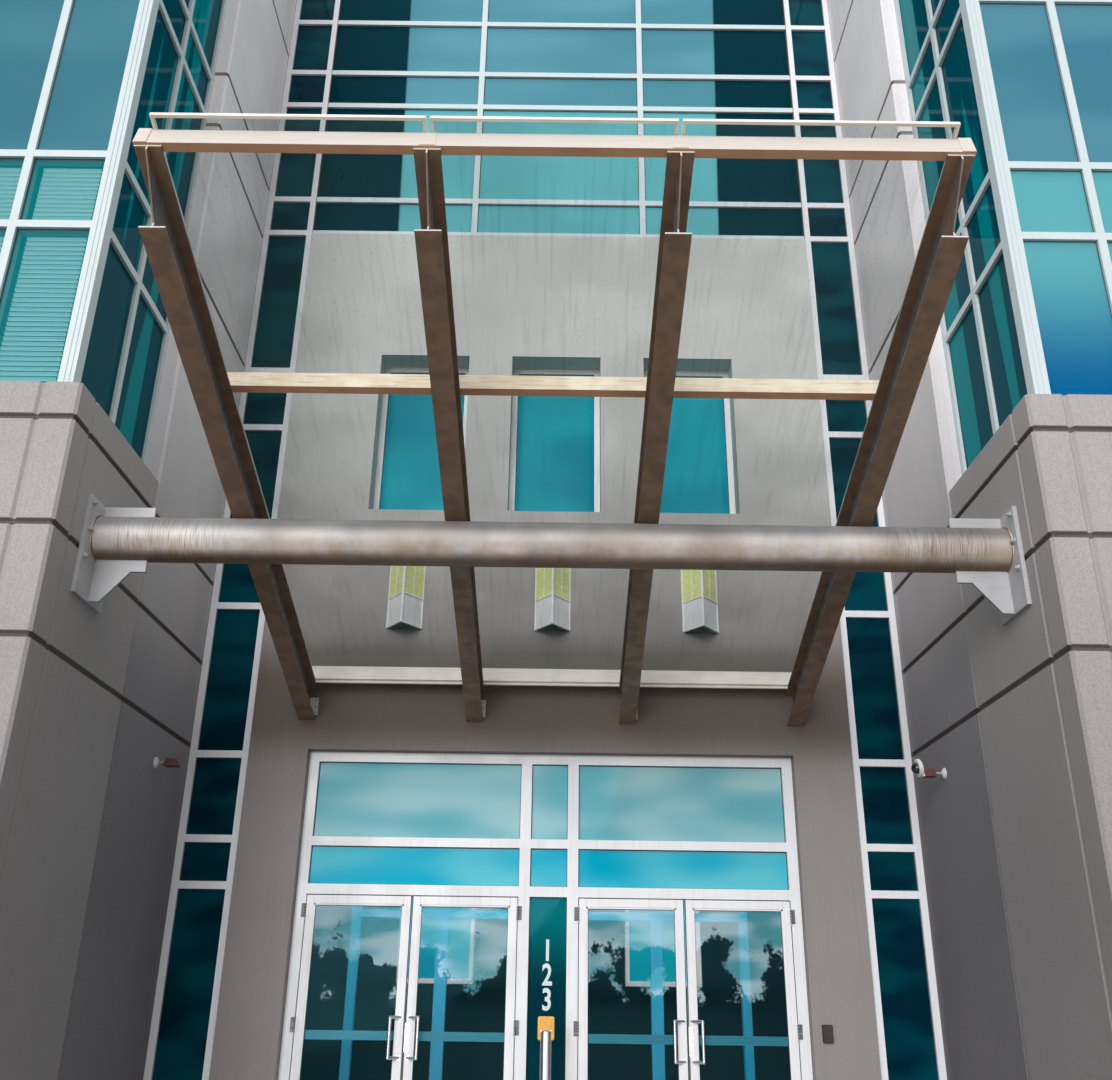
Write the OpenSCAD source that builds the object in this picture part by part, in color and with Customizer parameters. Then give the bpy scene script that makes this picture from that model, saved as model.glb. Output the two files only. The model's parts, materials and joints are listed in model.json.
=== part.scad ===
// Entrance bay of an office building: a recessed doorway between two side wings,
// under a sloping glass canopy that rests on a pipe beam.
// X runs to the right, Y into the building, Z up from the ground.
// The origin is on the ground at the foot of the entrance wall's outer face.

/* [Building] */
// Half the width of the recess between the two return walls
recess_half = 3250; // [3000:10:3500]
// Depth of the recess, from the pier fronts to the entrance wall
recess_depth = 3263; // [2800:1:3600]
// Width of each side wing beside the recess
wing_w = 2000; // [1600:10:2600]
// Depth of the building behind the entrance wall's outer face
hall_depth = 4600; // [4000:10:6000]
// Thickness of the outer walls
wall_t = 350; // [300:10:400]
// Thickness of the ground floor slab
ground_slab_t = 100; // [80:10:150]
// Thickness of the upper floors and the roof
slab_t = 220; // [180:10:300]
// Top of the second floor above the ground
second_floor_z = 4950; // [4850:10:5050]
// Height from one upper floor to the next
storey_h = 4260; // [4200:10:4300]
// Height of the parapet above the roof slab
parapet_h = 500; // [300:10:800]

/* [Side piers] */
// Top of the low piers in front of the glass boxes
pier_top = 5337; // [5300:1:5400]
// Distance of the seam between pier and tall return wall from the entrance wall
seam_y = 1654; // [1500:1:1900]
// How far the glass boxes stand back from the pier faces
box_inset = 130; // [100:5:160]
// Distance of the upright grooves from the pier corner
corner_groove = 268; // [200:1:320]
// Width of the V grooves between the wall panels
groove_w = 50; // [40:1:60]
// Depth of the V grooves between the wall panels
groove_d = 20; // [10:1:24]
// Width of the chamfer on the wall corners beside the recess
corner_chamfer = 20; // [10:1:30]

/* [Doorway] */
// Half the width of the wall opening round the doors
doorway_half = 2180; // [2150:5:2250]
// Height of the wall opening round the doors
doorway_h = 3500; // [3450:5:3600]
// How far the door frame stands back from the wall face
doorway_reveal = 97; // [80:1:120]
// Clear width of the opening for one pair of doors
pair_w = 1829; // [1800:1:1850]
// Gap between a door leaf and the frame
jamb_gap = 5; // [5:1:6]
// Gap between the two leaves of a pair
meeting_gap = 10; // [10:1:12]
// Underside of the door leaves above the ground
leaf_bottom = 120; // [115:1:125]
// Top of the door leaves above the ground
leaf_top = 2260; // [2230:1:2270]
// Thickness of a door leaf
leaf_t = 45; // [40:1:50]
// Width of the door stiles
stile_w = 65; // [55:1:80]
// Height of the bottom rail of a door
kick_rail_h = 250; // [150:5:300]

/* [Canopy] */
// Height of the rafters' underside where it meets the wall
rafter_foot = 3761; // [3700:1:3850]
// Slope of the canopy in degrees
slope = 17.95; // [16:0.05:19]
// Depth of a rafter square to its length
rafter_h = 282; // [260:1:300]
// Width of the rafter flanges
flange_w = 149; // [120:1:170]
// Half the distance between the outer rafters
outer_rafter = 2217; // [2100:1:2250]
// Half the distance between the inner rafters
inner_rafter = 692; // [650:1:740]
// Length of the rafters' bottom flange along the slope
bottom_len = 5159; // [5000:1:5250]
// Length of the rafters' top flange along the slope
top_len = 5493; // [5350:1:5600]
// Distance of the pipe beam from the entrance wall
pipe_y = 2606; // [2500:1:2750]
// Radius of the pipe beam
pipe_r = 162; // [150:1:170]
// Height of the purlins square to the slope
purlin_h = 135; // [90:1:150]

/* [Windows] */
// Distance between the centres of the three wall windows
window_pitch = 1365; // [1300:1:1400]
// Half the width of a wall window
window_half = 459; // [420:1:480]
// Height of the window sills above the ground
window_sill = 5869; // [5800:1:5950]
// Height of the window heads above the ground
window_head = 7636; // [7500:1:7700]
// How far the window frames stand back from the wall face
window_reveal = 250; // [150:5:260]

/* [Hidden] */
$fn = 48;

stucco = "#8d8685";
stone = "#a39a97";
white_metal = "#eef0f1";
tinted_glass = "#1d7f8c";
clear_glass = "#9fb8b4";
rusty_steel = "#6b5343";
grey_steel = "#8f8a88";
cream_steel = "#e6dccb";
stainless = "#c4c6c8";
concrete = "#a7a59f";

// Outer faces of the building
front_y = -recess_depth;
rear_y = hall_depth;
wing_x = recess_half + wing_w;
third_floor_z = second_floor_z + storey_h;
roof_z = third_floor_z + storey_h;
top_z = roof_z + parapet_h;
coping_t = 40;
coping_out = 20;

// Levels of the grooves, as centre lines
pier_grooves = [3520, 4289, 5069];
tall_wall_grooves = concat(pier_grooves, [7500, 9140, 9780, 11790]);

// Glazing: bar sizes and the levels of the cross bars, as centre lines
bar_w = 64;
bar_d = 110;
corner_bar_w = 112;
pane_t = 24;
strip_levels = [2320, 2710, 3450, 4860, 6780, 7450];
box_levels = [6780, 7450];
upper_rises = [0, 460, 1830, 2330, 3130];
upper_levels = [for (rise = upper_rises) third_floor_z + rise];
glazing_head = roof_z - slab_t - bar_w / 2;
strip_w = 541;
strip_inner_x = recess_half - strip_w;
strip_reveal = 30;
pane_in = 30;
curtain_sill = upper_levels[0] - bar_w / 2;
curtain_bar_x = 932;
box_bar_pitch = 650;
box_side_bar_y = 746;
box_front = front_y + box_inset;
box_side = recess_half + box_inset;
parapet_base = glazing_head + bar_w / 2;

// Doors: the pairs stand either side of a narrow side light
pair_inner_x = 257.6;
pair_outer_x = pair_inner_x + pair_w;
leaf_w = (pair_w - 2 * jamb_gap - meeting_gap) / 2;
leaf_front = doorway_reveal;
top_rail_h = 70;
sill_out = 60;
side_light_half = 162;
side_light_sill = 120;
leaf_head_gap = 6;
head_bar_z = leaf_top + leaf_head_gap;
head_bar_h = 86;
low_pane_h = 321;
transom_bar_h = 78;
top_bar_h = 91;
low_transom = [head_bar_z + head_bar_h, head_bar_z + head_bar_h + low_pane_h];
high_transom = [low_transom[1] + transom_bar_h, doorway_h - top_bar_h];
door_stop = 15;
door_stop_gap = 5;
threshold_h = 13;
inner_screen_y = 2950;
door_glass_t = 10;
hinge_r = 8.7;
hinge_offset = 9;
hinge_zs = [350, 1230, 2130];
hinge_len = 115;
handle_z = 1145;
handle_len = 305;
handle_out = 62;
handle_side = 78;
handle_r = 12.5;
push_bar_z = 1155;
push_bar_h = 70;
lock_plate = [36, 5, 220];

// Canopy section, measured along the slope (s) and square to it (t)
flange_t = 14;
web_t = 9;
nose = 45;
rafter_xs = [-outer_rafter, -inner_rafter, inner_rafter, outer_rafter];
pipe_z = rafter_foot + pipe_y * tan(slope) - pipe_r / cos(slope);
pipe_wall_t = 12;
plate_t = 30;
plate_half = 236;
plate_above = 245;
plate_below = 480;
stiffener_t = 25;
stiffener_out = 365;
stiffener_cut = 248;
stiffener_toe = [75, 8];
stiffener_heel = 262;
rafter_run_in = 400;
lip_h = 23;
lip_t = 14;
fascia_w = 55;
fascia_s = top_len + 15;
middle_w = 61;
middle_out = 3492;
middle_s = middle_out / cos(slope) + rafter_h * tan(slope);
rear_w = 41;
rear_out = 159;
rear_s = rear_out / cos(slope) + rafter_h * tan(slope);
glass_t = rafter_h + purlin_h;
glass_thick = 20;
glass_bar_w = 18;
glass_bar_h = 25;
glass_overhang = 87;
glass_back_s = 200;
glass_gap = 22;

// Fittings on the walls
light_pitch = 1393;
light_half = 166;
light_out = 220;
light_base = 4640;
light_h = 900;
camera_y = 770;
camera_z = 3208;
camera_base_r = 46;
camera_arm_r = 10;
camera_body = [117, 84, 62];
camera_round = 5;
camera_reach = 76;
dome_ring_r = 74;
dome_ring_t = 36;
dome_r = 45;
dome_reach = 190;
dome_rise = 45;
reader_size = [82, 38, 135];
reader_x = 77;
reader_z = 1155;
reader_edge = 9;
post_y = 260;
post_r = 44;
post_top = 1222;
push_plate = [132, 44, 175];
push_plate_z = 1150;
push_plate_edge = 16;
push_disc_r = 48;

module box(low, high) {
    translate(low) cube(high - low);
}

// Copies its children to the other side of the entrance's centre line
module other_side() {
    mirror([1, 0, 0]) children();
}

// Places its children in the plane of the canopy: X across, Y up the slope, Z square to it
module on_slope() {
    translate([0, 0, rafter_foot]) rotate([-slope, 0, 0]) mirror([0, 1, 0]) children();
}

// A flat frame of upright and level bars, between two heights, facing the street
module bar_frame(xs, zs, low, high, front, width = bar_w) {
    for (x = xs) box([x - width / 2, front, low], [x + width / 2, front + bar_d, high]);
    for (z = zs) box([xs[0], front, z - width / 2], [xs[len(xs) - 1], front + bar_d, z + width / 2]);
}

// Panes that fill the spaces between the bars of such a frame
module bar_panes(xs, zs, front, width = bar_w) {
    for (i = [0 : len(xs) - 2], j = [0 : len(zs) - 2])
        box([xs[i] + width / 2, front, zs[j] + width / 2],
            [xs[i + 1] - width / 2, front + pane_t, zs[j + 1] - width / 2]);
}

// A floor inside the walls, with a tongue in each wing that ends short of the pier faces
module floor_slab(top, thick, edge = wall_t) {
    outer_x = wing_x - wall_t;
    color(concrete) translate([0, 0, top - thick]) linear_extrude(thick) union() {
        translate([-outer_x, wall_t]) square([2 * outer_x, rear_y - 2 * wall_t]);
        for (side = [0, 1]) mirror([side, 0]) polygon([
            [-outer_x, front_y + edge], [-recess_half - edge, front_y + edge],
            [-recess_half - edge, -seam_y], [-recess_half - wall_t, -seam_y],
            [-recess_half - wall_t, wall_t], [-outer_x, wall_t]
        ]);
    }
}

module ground_floor() {
    floor_slab(ground_slab_t, ground_slab_t);
    color(concrete) box([-doorway_half, -sill_out, 0], [doorway_half, wall_t, ground_slab_t]);
    color(stainless) for (side = [0, 1]) mirror([side, 0, 0])
        box([pair_inner_x, doorway_reveal, ground_slab_t],
            [pair_outer_x, doorway_reveal + bar_d, ground_slab_t + threshold_h]);
}

floor_edge_gap = 20;

module second_floor() {
    floor_slab(second_floor_z, slab_t);
}

module third_floor() {
    floor_slab(third_floor_z, slab_t, box_inset + bar_d + floor_edge_gap);
}

module roof_slab() {
    floor_slab(roof_z, slab_t, box_inset + wall_t);
}

// Cutter for a V groove with a flat bottom: X points out of the wall, the groove runs along Z
module groove_cut(length) {
    linear_extrude(length) polygon([
        [1, -groove_w / 2 - 1], [1, groove_w / 2 + 1],
        [-groove_d, groove_w / 2 - groove_d], [-groove_d, -groove_w / 2 + groove_d]
    ]);
}

// Level grooves in the recess side of a left-hand wall, between two distances from the street
module side_grooves(zs, from_y, to_y) {
    for (z = zs) translate([-recess_half, to_y, z]) rotate([90, 0, 0]) groove_cut(to_y - from_y);
}

// Cuts the upright corner of a left-hand wall beside the recess: ahead is -1 or 1 along Y
module corner_cut(y, ahead, high) {
    c = corner_chamfer + 1;
    translate([0, 0, -1]) linear_extrude(high + 2) polygon([
        [-recess_half - c, y - ahead], [-recess_half + 1, y - ahead],
        [-recess_half + 1, y + ahead * c]
    ]);
}

module pier() {
    tall = pier_top + 2;
    color(stone) difference() {
        union() {
            box([-wing_x + wall_t, front_y, 0], [-recess_half, front_y + wall_t, pier_top]);
            box([-recess_half - wall_t, front_y, 0], [-recess_half, -seam_y, pier_top]);
        }
        side_grooves(pier_grooves, front_y - 1, -seam_y + 1);
        for (z = pier_grooves) translate([-recess_half + 1, front_y, z]) rotate([90, 0, -90])
            groove_cut(wing_w);
        translate([-recess_half, front_y + corner_groove, -1]) groove_cut(tall);
        translate([-recess_half - corner_groove, front_y, -1]) rotate([0, 0, -90]) groove_cut(tall);
        corner_cut(front_y, 1, pier_top);
        corner_cut(-seam_y, -1, pier_top);
    }
}

module return_wall() {
    color(stucco) difference() {
        box([-recess_half - wall_t, -seam_y, 0], [-recess_half, wall_t, top_z]);
        side_grooves(tall_wall_grooves, -seam_y - 1, 0);
        corner_cut(-seam_y, 1, top_z);
    }
}

module party_wall() {
    color(stucco) box([-wing_x, front_y, 0], [-wing_x + wall_t, rear_y, top_z]);
}

// Wall windows of one storey, as boxes that pass right through a wall
module window_holes(lift, y0, y1) {
    for (x = [-window_pitch, 0, window_pitch])
        box([x - window_half, y0, window_sill + lift], [x + window_half, y1, window_head + lift]);
}

module rear_wall() {
    color(stucco) difference() {
        box([-wing_x + wall_t, rear_y - wall_t, 0], [wing_x - wall_t, rear_y, top_z]);
        for (lift = [-storey_h, 0, storey_h]) window_holes(lift, rear_y - wall_t - 1, rear_y + 1);
    }
}

module entrance_wall_side() {
    color(stucco) box([-strip_inner_x, 0, 0], [-doorway_half, wall_t, doorway_h]);
}

module entrance_wall_over() {
    color(stucco) difference() {
        box([-strip_inner_x, 0, doorway_h], [strip_inner_x, wall_t, curtain_sill]);
        window_holes(0, -1, wall_t + 1);
    }
}

// Front wall of the parapet, above the glazing
module parapet() {
    color(stucco) {
        box([-recess_half, 0, parapet_base], [recess_half, wall_t, top_z]);
        for (side = [0, 1]) mirror([side, 0, 0]) {
            box([-wing_x + wall_t, box_front, parapet_base], [-box_side, box_front + wall_t, top_z]);
            box([-box_side - wall_t, box_front, parapet_base], [-box_side, -seam_y, top_z]);
        }
    }
}

// Plan of the wall tops, each grown by the given overhang
module wall_tops(out) {
    middle = [[[-recess_half, 0], [recess_half, wall_t]],
              [[-wing_x, rear_y - wall_t], [wing_x, rear_y]]];
    beside = [[[-wing_x, front_y], [-wing_x + wall_t, rear_y]],
              [[-wing_x + wall_t, box_front], [-box_side, box_front + wall_t]],
              [[-box_side - wall_t, box_front], [-box_side, -seam_y]],
              [[-recess_half - wall_t, -seam_y], [-recess_half, wall_t]]];
    grow = [out, out];
    for (span = middle) translate(span[0] - grow) square(span[1] - span[0] + 2 * grow);
    for (side = [0, 1]) mirror([side, 0])
        for (span = beside) translate(span[0] - grow) square(span[1] - span[0] + 2 * grow);
}

// Metal cap on all the walls, flush with the party faces
module coping() {
    color(white_metal) translate([0, 0, top_z]) linear_extrude(coping_t) intersection() {
        wall_tops(coping_out);
        translate([-wing_x, 2 * front_y]) square([2 * wing_x, 2 * (rear_y - front_y)]);
    }
}

box_frame_levels = concat([pier_top + bar_w / 2], box_levels, upper_levels, [glazing_head]);
box_front_xs = [-wing_x + wall_t + bar_w / 2, -box_side - 2 * box_bar_pitch - corner_bar_w / 2,
                -box_side - box_bar_pitch - corner_bar_w / 2, -box_side - corner_bar_w / 2];
box_side_ys = [-seam_y - box_side_bar_y, -seam_y - bar_w / 2];

module glass_box_frame() {
    color(white_metal) union() {
        bar_frame(box_front_xs, box_frame_levels, pier_top, parapet_base, box_front);
        box([-box_side - corner_bar_w, box_front, pier_top], [-box_side, box_front + bar_d, parapet_base]);
    }
}

// The bars of a glass box that look into the recess
module glass_box_side_frame() {
    color(white_metal) union() {
        for (y = box_side_ys)
            box([-box_side - bar_d, y - bar_w / 2, pier_top], [-box_side, y + bar_w / 2, parapet_base]);
        for (z = box_frame_levels)
            box([-box_side - bar_d, box_front + bar_d, z - bar_w / 2], [-box_side, -seam_y, z + bar_w / 2]);
    }
}

module glass_box_panes() {
    color(tinted_glass) {
        for (j = [0 : len(box_frame_levels) - 2]) {
            low = box_frame_levels[j] + bar_w / 2;
            high = box_frame_levels[j + 1] - bar_w / 2;
            for (i = [0 : 2]) {
                right = i == 2 ? -box_side - corner_bar_w : box_front_xs[i + 1] - bar_w / 2;
                box([box_front_xs[i] + bar_w / 2, box_front + pane_in, low],
                    [right, box_front + pane_in + pane_t, high]);
            }
            for (span = [[box_front + bar_d, box_side_ys[0] - bar_w / 2],
                         [box_side_ys[0] + bar_w / 2, -seam_y - bar_w]])
                box([-box_side - pane_in - pane_t, span[0], low], [-box_side - pane_in, span[1], high]);
        }
    }
}

strip_xs = [-recess_half + bar_w / 2, -strip_inner_x - bar_w / 2];
strip_all_levels = concat([bar_w / 2], strip_levels, upper_levels, [glazing_head]);

module glazing_strip_frames() {
    color(white_metal) for (side = [0, 1]) mirror([side, 0, 0])
        bar_frame(strip_xs, strip_all_levels, 0, parapet_base, strip_reveal);
}

module glazing_strip_panes() {
    color(tinted_glass) for (side = [0, 1]) mirror([side, 0, 0])
        bar_panes(strip_xs, strip_all_levels, strip_reveal + pane_in);
}

curtain_levels = concat(upper_levels, [glazing_head]);
curtain_xs = [-strip_inner_x + bar_w / 2, -curtain_bar_x, curtain_bar_x, strip_inner_x - bar_w / 2];

module curtain_wall_frame() {
    color(white_metal) union() {
        bar_frame([-curtain_bar_x, curtain_bar_x], curtain_levels, curtain_sill, parapet_base, strip_reveal);
        for (z = curtain_levels)
            box([-strip_inner_x, strip_reveal, z - bar_w / 2], [strip_inner_x, strip_reveal + bar_d, z + bar_w / 2]);
    }
}

module curtain_wall_panes() {
    xs = [-strip_inner_x - bar_w / 2, -curtain_bar_x, curtain_bar_x, strip_inner_x + bar_w / 2];
    color(tinted_glass) bar_panes(xs, curtain_levels, strip_reveal + pane_in);
}

// One wall window frame, standing in its hole with its face at the given depth
window_frame_w = 57;
window_frame_d = 70;

module window_frame(x, lift, face) {
    frame_w = window_frame_w;
    difference() {
        box([x - window_half, face, window_sill + lift],
            [x + window_half, face + window_frame_d, window_head + lift]);
        box([x - window_half + frame_w, face - 1, window_sill + lift + frame_w],
            [x + window_half - frame_w, face + window_frame_d + 1, window_head + lift - frame_w]);
    }
}

module window_pane(x, lift, face) {
    frame_w = window_frame_w;
    pane_in = 25;
    box([x - window_half + frame_w, face + pane_in, window_sill + lift + frame_w],
        [x + window_half - frame_w, face + pane_in + pane_t, window_head + lift - frame_w]);
}

rear_face = rear_y - wall_t + 60;

module window_frames() {
    color(white_metal) for (x = [-window_pitch, 0, window_pitch]) {
        window_frame(x, 0, window_reveal);
        for (lift = [-storey_h, 0, storey_h]) window_frame(x, lift, rear_face);
    }
}

module window_panes() {
    color(tinted_glass) for (x = [-window_pitch, 0, window_pitch]) {
        window_pane(x, 0, window_reveal);
        for (lift = [-storey_h, 0, storey_h]) window_pane(x, lift, rear_face);
    }
}

module storefront_frame() {
    front = doorway_reveal;
    back = doorway_reveal + bar_d;
    stop_y = leaf_front + leaf_t + door_stop_gap;
    color(white_metal) union() {
        for (side = [0, 1]) mirror([side, 0, 0]) {
            box([pair_outer_x, front, ground_slab_t], [doorway_half, back, doorway_h]);
            box([side_light_half, front, ground_slab_t], [pair_inner_x, back, doorway_h]);
            box([pair_outer_x - door_stop, stop_y, ground_slab_t + threshold_h],
                [pair_outer_x, back, head_bar_z]);
            box([pair_inner_x, stop_y, ground_slab_t + threshold_h],
                [pair_inner_x + door_stop, back, head_bar_z]);
            box([pair_inner_x, stop_y, head_bar_z - door_stop], [pair_outer_x, back, head_bar_z]);
        }
        box([-doorway_half, front, head_bar_z], [doorway_half, back, low_transom[0]]);
        box([-doorway_half, front, low_transom[1]], [doorway_half, back, high_transom[0]]);
        box([-doorway_half, front, high_transom[1]], [doorway_half, back, doorway_h]);
        box([-side_light_half, front, ground_slab_t],
            [side_light_half, back, ground_slab_t + side_light_sill]);
    }
}

module storefront_panes() {
    face = doorway_reveal + 40;
    color(tinted_glass) {
        for (level = [low_transom, high_transom]) {
            box([-side_light_half, face, level[0]], [side_light_half, face + pane_t, level[1]]);
            for (side = [0, 1]) mirror([side, 0, 0])
                box([pair_inner_x, face, level[0]], [pair_outer_x, face + pane_t, level[1]]);
        }
        box([-side_light_half, face, ground_slab_t + side_light_sill],
            [side_light_half, face + pane_t, head_bar_z]);
    }
}

// Uprights and head of the screen that shows behind the door glass
module inner_screen() {
    front = inner_screen_y;
    back = front + bar_d;
    ceiling = second_floor_z - slab_t;
    pair_mid = (pair_inner_x + pair_outer_x) / 2;
    color(white_metal) union() {
        for (side = [0, 1]) mirror([side, 0, 0]) {
            box([pair_outer_x, front, ground_slab_t], [doorway_half, back, ceiling]);
            box([side_light_half, front, ground_slab_t], [pair_inner_x, back, doorway_h]);
            box([pair_mid - stile_w, front, ground_slab_t], [pair_mid + stile_w, back, head_bar_z + 1]);
        }
        box([-doorway_half, front, head_bar_z], [doorway_half, back, low_transom[0]]);
        box([-doorway_half, front, high_transom[1]], [doorway_half, back, doorway_h]);
    }
}

// A door leaf, drawn with its hinge edge at x = 0 and its free edge to the right
module leaf_shape() {
    back = leaf_front + leaf_t;
    color(white_metal) {
        difference() {
            box([0, leaf_front, leaf_bottom], [leaf_w, back, leaf_top]);
            box([stile_w, leaf_front - 1, leaf_bottom + kick_rail_h],
                [leaf_w - stile_w, back + 1, leaf_top - top_rail_h]);
        }
        for (z = hinge_zs) {
            translate([-jamb_gap / 2, leaf_front - hinge_offset, z - hinge_len / 2])
                cylinder(r = hinge_r, h = hinge_len);
            box([-jamb_gap / 2, leaf_front - hinge_offset, z - hinge_len / 2],
                [28, leaf_front, z + hinge_len / 2]);
        }
    }
}

module leaf_glass_shape() {
    mid = leaf_front + leaf_t / 2;
    color(tinted_glass)
        box([stile_w, mid - door_glass_t / 2, leaf_bottom + kick_rail_h],
            [leaf_w - stile_w, mid + door_glass_t / 2, leaf_top - top_rail_h]);
}

// The pull outside and the push bar inside, with a lock plate on one leaf of each pair
module leaf_handles_shape(locked) {
    post_x = leaf_w - stile_w / 2;
    grip_x = post_x - handle_side;
    grip_y = leaf_front - handle_out;
    lean = atan2(handle_side, handle_out);
    post_len = norm([handle_side, handle_out]);
    root = 16;
    color(stainless) {
        difference() {
            union() {
                for (z = [handle_z - handle_len / 2, handle_z + handle_len / 2]) {
                    translate([post_x, leaf_front, z]) rotate([0, 0, -lean]) rotate([90, 0, 0])
                        translate([0, 0, -root]) cylinder(r = handle_r, h = post_len + root);
                    translate([grip_x, grip_y, z]) sphere(r = handle_r + 1.5);
                }
                translate([grip_x, grip_y, handle_z - handle_len / 2]) cylinder(r = handle_r, h = handle_len);
            }
            box([0, leaf_front, handle_z - handle_len], [leaf_w, leaf_front + 2 * root, handle_z + handle_len]);
        }
        box([stile_w, leaf_front + leaf_t / 2 + door_glass_t / 2 + 12, push_bar_z - push_bar_h / 2],
            [leaf_w - stile_w, leaf_front + leaf_t + 40, push_bar_z + push_bar_h / 2]);
    }
    if (locked) color("#8a6a4c")
        translate([leaf_w - lock_plate[0], leaf_front - lock_plate[1], handle_z - lock_plate[2] / 2])
            cube(lock_plate);
}

// Puts a leaf in its place: odd leaves hinge at their left edge, even ones at their right
module in_doorway(number) {
    hinge_x = [-pair_outer_x, -pair_inner_x, pair_inner_x, pair_outer_x][number - 1];
    turned = number % 2 == 0;
    translate([hinge_x + (turned ? -jamb_gap : jamb_gap), 0, 0])
        mirror([turned ? 1 : 0, 0, 0]) children();
}

module pipe_beam() {
    length = 2 * (recess_half - plate_t);
    color(grey_steel) translate([-length / 2, -pipe_y, pipe_z]) rotate([0, 90, 0]) difference() {
        cylinder(r = pipe_r, h = length, $fn = 96);
        translate([0, 0, -1]) cylinder(r = pipe_r - pipe_wall_t, h = length + 2, $fn = 96);
    }
}

// Wall plate with a stiffener above and below the pipe
module pipe_bracket() {
    low = pipe_z - plate_below;
    high = pipe_z + plate_above;
    toe = low + stiffener_toe[1];
    color(grey_steel) {
        box([-recess_half, -pipe_y - plate_half, low], [-recess_half + plate_t, -pipe_y + plate_half, high]);
        difference() {
            translate([-recess_half + plate_t, -pipe_y + stiffener_t / 2, 0]) rotate([90, 0, 0])
                linear_extrude(stiffener_t) polygon([
                    [0, toe], [stiffener_toe[0], toe], [stiffener_heel, pipe_z - stiffener_cut],
                    [stiffener_out, pipe_z - stiffener_cut], [stiffener_out, high], [0, high]
                ]);
            translate([-recess_half, -pipe_y, pipe_z]) rotate([0, 90, 0])
                cylinder(r = pipe_r, h = 2 * stiffener_out, $fn = 96);
        }
    }
}

module rafter(number) {
    x = rafter_xs[number - 1];
    color(rusty_steel) difference() {
        translate([x, 0, 0]) on_slope() {
            start = -rafter_run_in;
            translate([-flange_w / 2, start, 0]) cube([flange_w, bottom_len - start, flange_t]);
            translate([-flange_w / 2, start, rafter_h - flange_t])
                cube([flange_w, top_len - start, flange_t]);
            translate([-web_t / 2, 0, 0]) rotate([90, 0, 90]) linear_extrude(web_t) polygon([
                [start, flange_t / 2], [bottom_len, flange_t / 2], [bottom_len, nose],
                [top_len, rafter_h - nose], [top_len, rafter_h - flange_t / 2],
                [start, rafter_h - flange_t / 2]
            ]);
        }
        box([x - flange_w, 0, 0], [x + flange_w, 2 * rafter_run_in, 2 * rafter_foot]);
    }
}

// Angle clips that hold the rafters to the wall, one beside each web
module rafter_wall_clips() {
    leg = 90;
    clip_t = 12;
    low = rafter_foot + 45;
    high = rafter_foot + 205;
    color(rusty_steel) for (x = rafter_xs) {
        box([x + web_t / 2, -clip_t, low], [x + web_t / 2 + leg, 0, high]);
        box([x + web_t / 2, -leg, low + 25], [x + web_t / 2 + clip_t, -clip_t, high]);
    }
}

module cross_beam(front_s, width) {
    half = outer_rafter + flange_w / 2;
    color(cream_steel) on_slope()
        translate([-half, front_s - width, rafter_h]) cube([2 * half, width, purlin_h]);
}

// The purlin by the wall, with a drip lip under its rear edge between the rafter flanges
module rear_beam() {
    cross_beam(rear_s, rear_w);
    color(cream_steel) on_slope() for (i = [0 : 2])
        translate([rafter_xs[i] + flange_w / 2, rear_s - rear_w, rafter_h - lip_h])
            cube([rafter_xs[i + 1] - rafter_xs[i] - flange_w, lip_t, lip_h]);
}

// Outline of the three canopy panels: left and right edges
panel_edges = [[-outer_rafter, -inner_rafter - glass_gap / 2],
               [-inner_rafter + glass_gap / 2, inner_rafter - glass_gap / 2],
               [inner_rafter + glass_gap / 2, outer_rafter]];
glass_front_s = fascia_s + glass_overhang;

module canopy_glass_frames() {
    color(cream_steel) on_slope() for (edge = panel_edges) difference() {
        translate([edge[0], glass_back_s, glass_t])
            cube([edge[1] - edge[0], glass_front_s - glass_back_s, glass_bar_h]);
        translate([edge[0] + glass_bar_w, glass_back_s + glass_bar_w, glass_t - 1])
            cube([edge[1] - edge[0] - 2 * glass_bar_w, glass_front_s - glass_back_s - 2 * glass_bar_w,
                  glass_bar_h + 2]);
    }
}

module canopy_glass() {
    color(clear_glass) on_slope() for (edge = panel_edges)
        translate([edge[0] + glass_bar_w, glass_back_s + glass_bar_w, glass_t])
            cube([edge[1] - edge[0] - 2 * glass_bar_w, glass_front_s - glass_back_s - 2 * glass_bar_w,
                  glass_thick]);
}

// Wedge-shaped wall lights between the doorway and the windows
module wall_lights() {
    color("#f2f2e0") for (x = [-light_pitch, 0, light_pitch]) translate([x, 0, light_base])
        linear_extrude(light_h) polygon([[-light_half, 0], [0, -light_out], [light_half, 0]]);
}

// A hooded camera on an arm from a round base, drawn on the left-hand wall
module hooded_camera() {
    size = camera_body;
    color(white_metal) translate([-recess_half, -camera_y, camera_z]) {
        rotate([0, 90, 0]) rotate_extrude() polygon([
            [0, 0], [camera_base_r, 0], [camera_base_r, 8], [camera_base_r * 0.8, 12],
            [camera_base_r * 0.6, 22], [camera_arm_r, 27], [camera_arm_r, camera_reach + 12], [0, camera_reach + 12]
        ]);
        translate([camera_reach, 0, -size[2] / 2]) rotate([90, 0, 0])
            linear_extrude(size[1], center = true) offset(camera_round) offset(-camera_round) polygon([
                [0, 0], [size[0], 0], [size[0], 9], [size[0] * 0.8, size[2]], [size[0] * 0.2, size[2]], [0, 9]
            ]);
    }
}

// The dome that hangs on the end of the right-hand camera, with its ring
module dome_camera() {
    color(white_metal) translate([recess_half - dome_reach, -camera_y, camera_z + dome_rise])
        rotate([0, -100, 0]) {
            rotate_extrude() polygon([
                [0, -8], [dome_ring_r * 0.55, -8], [dome_ring_r, 6], [dome_ring_r, dome_ring_t - 5],
                [dome_ring_r - 5, dome_ring_t], [0, dome_ring_t]
            ]);
            translate([0, 0, dome_ring_t]) sphere(r = dome_r);
        }
}

module wall_cameras() {
    hooded_camera();
    other_side() hooded_camera();
    dome_camera();
}

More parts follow.
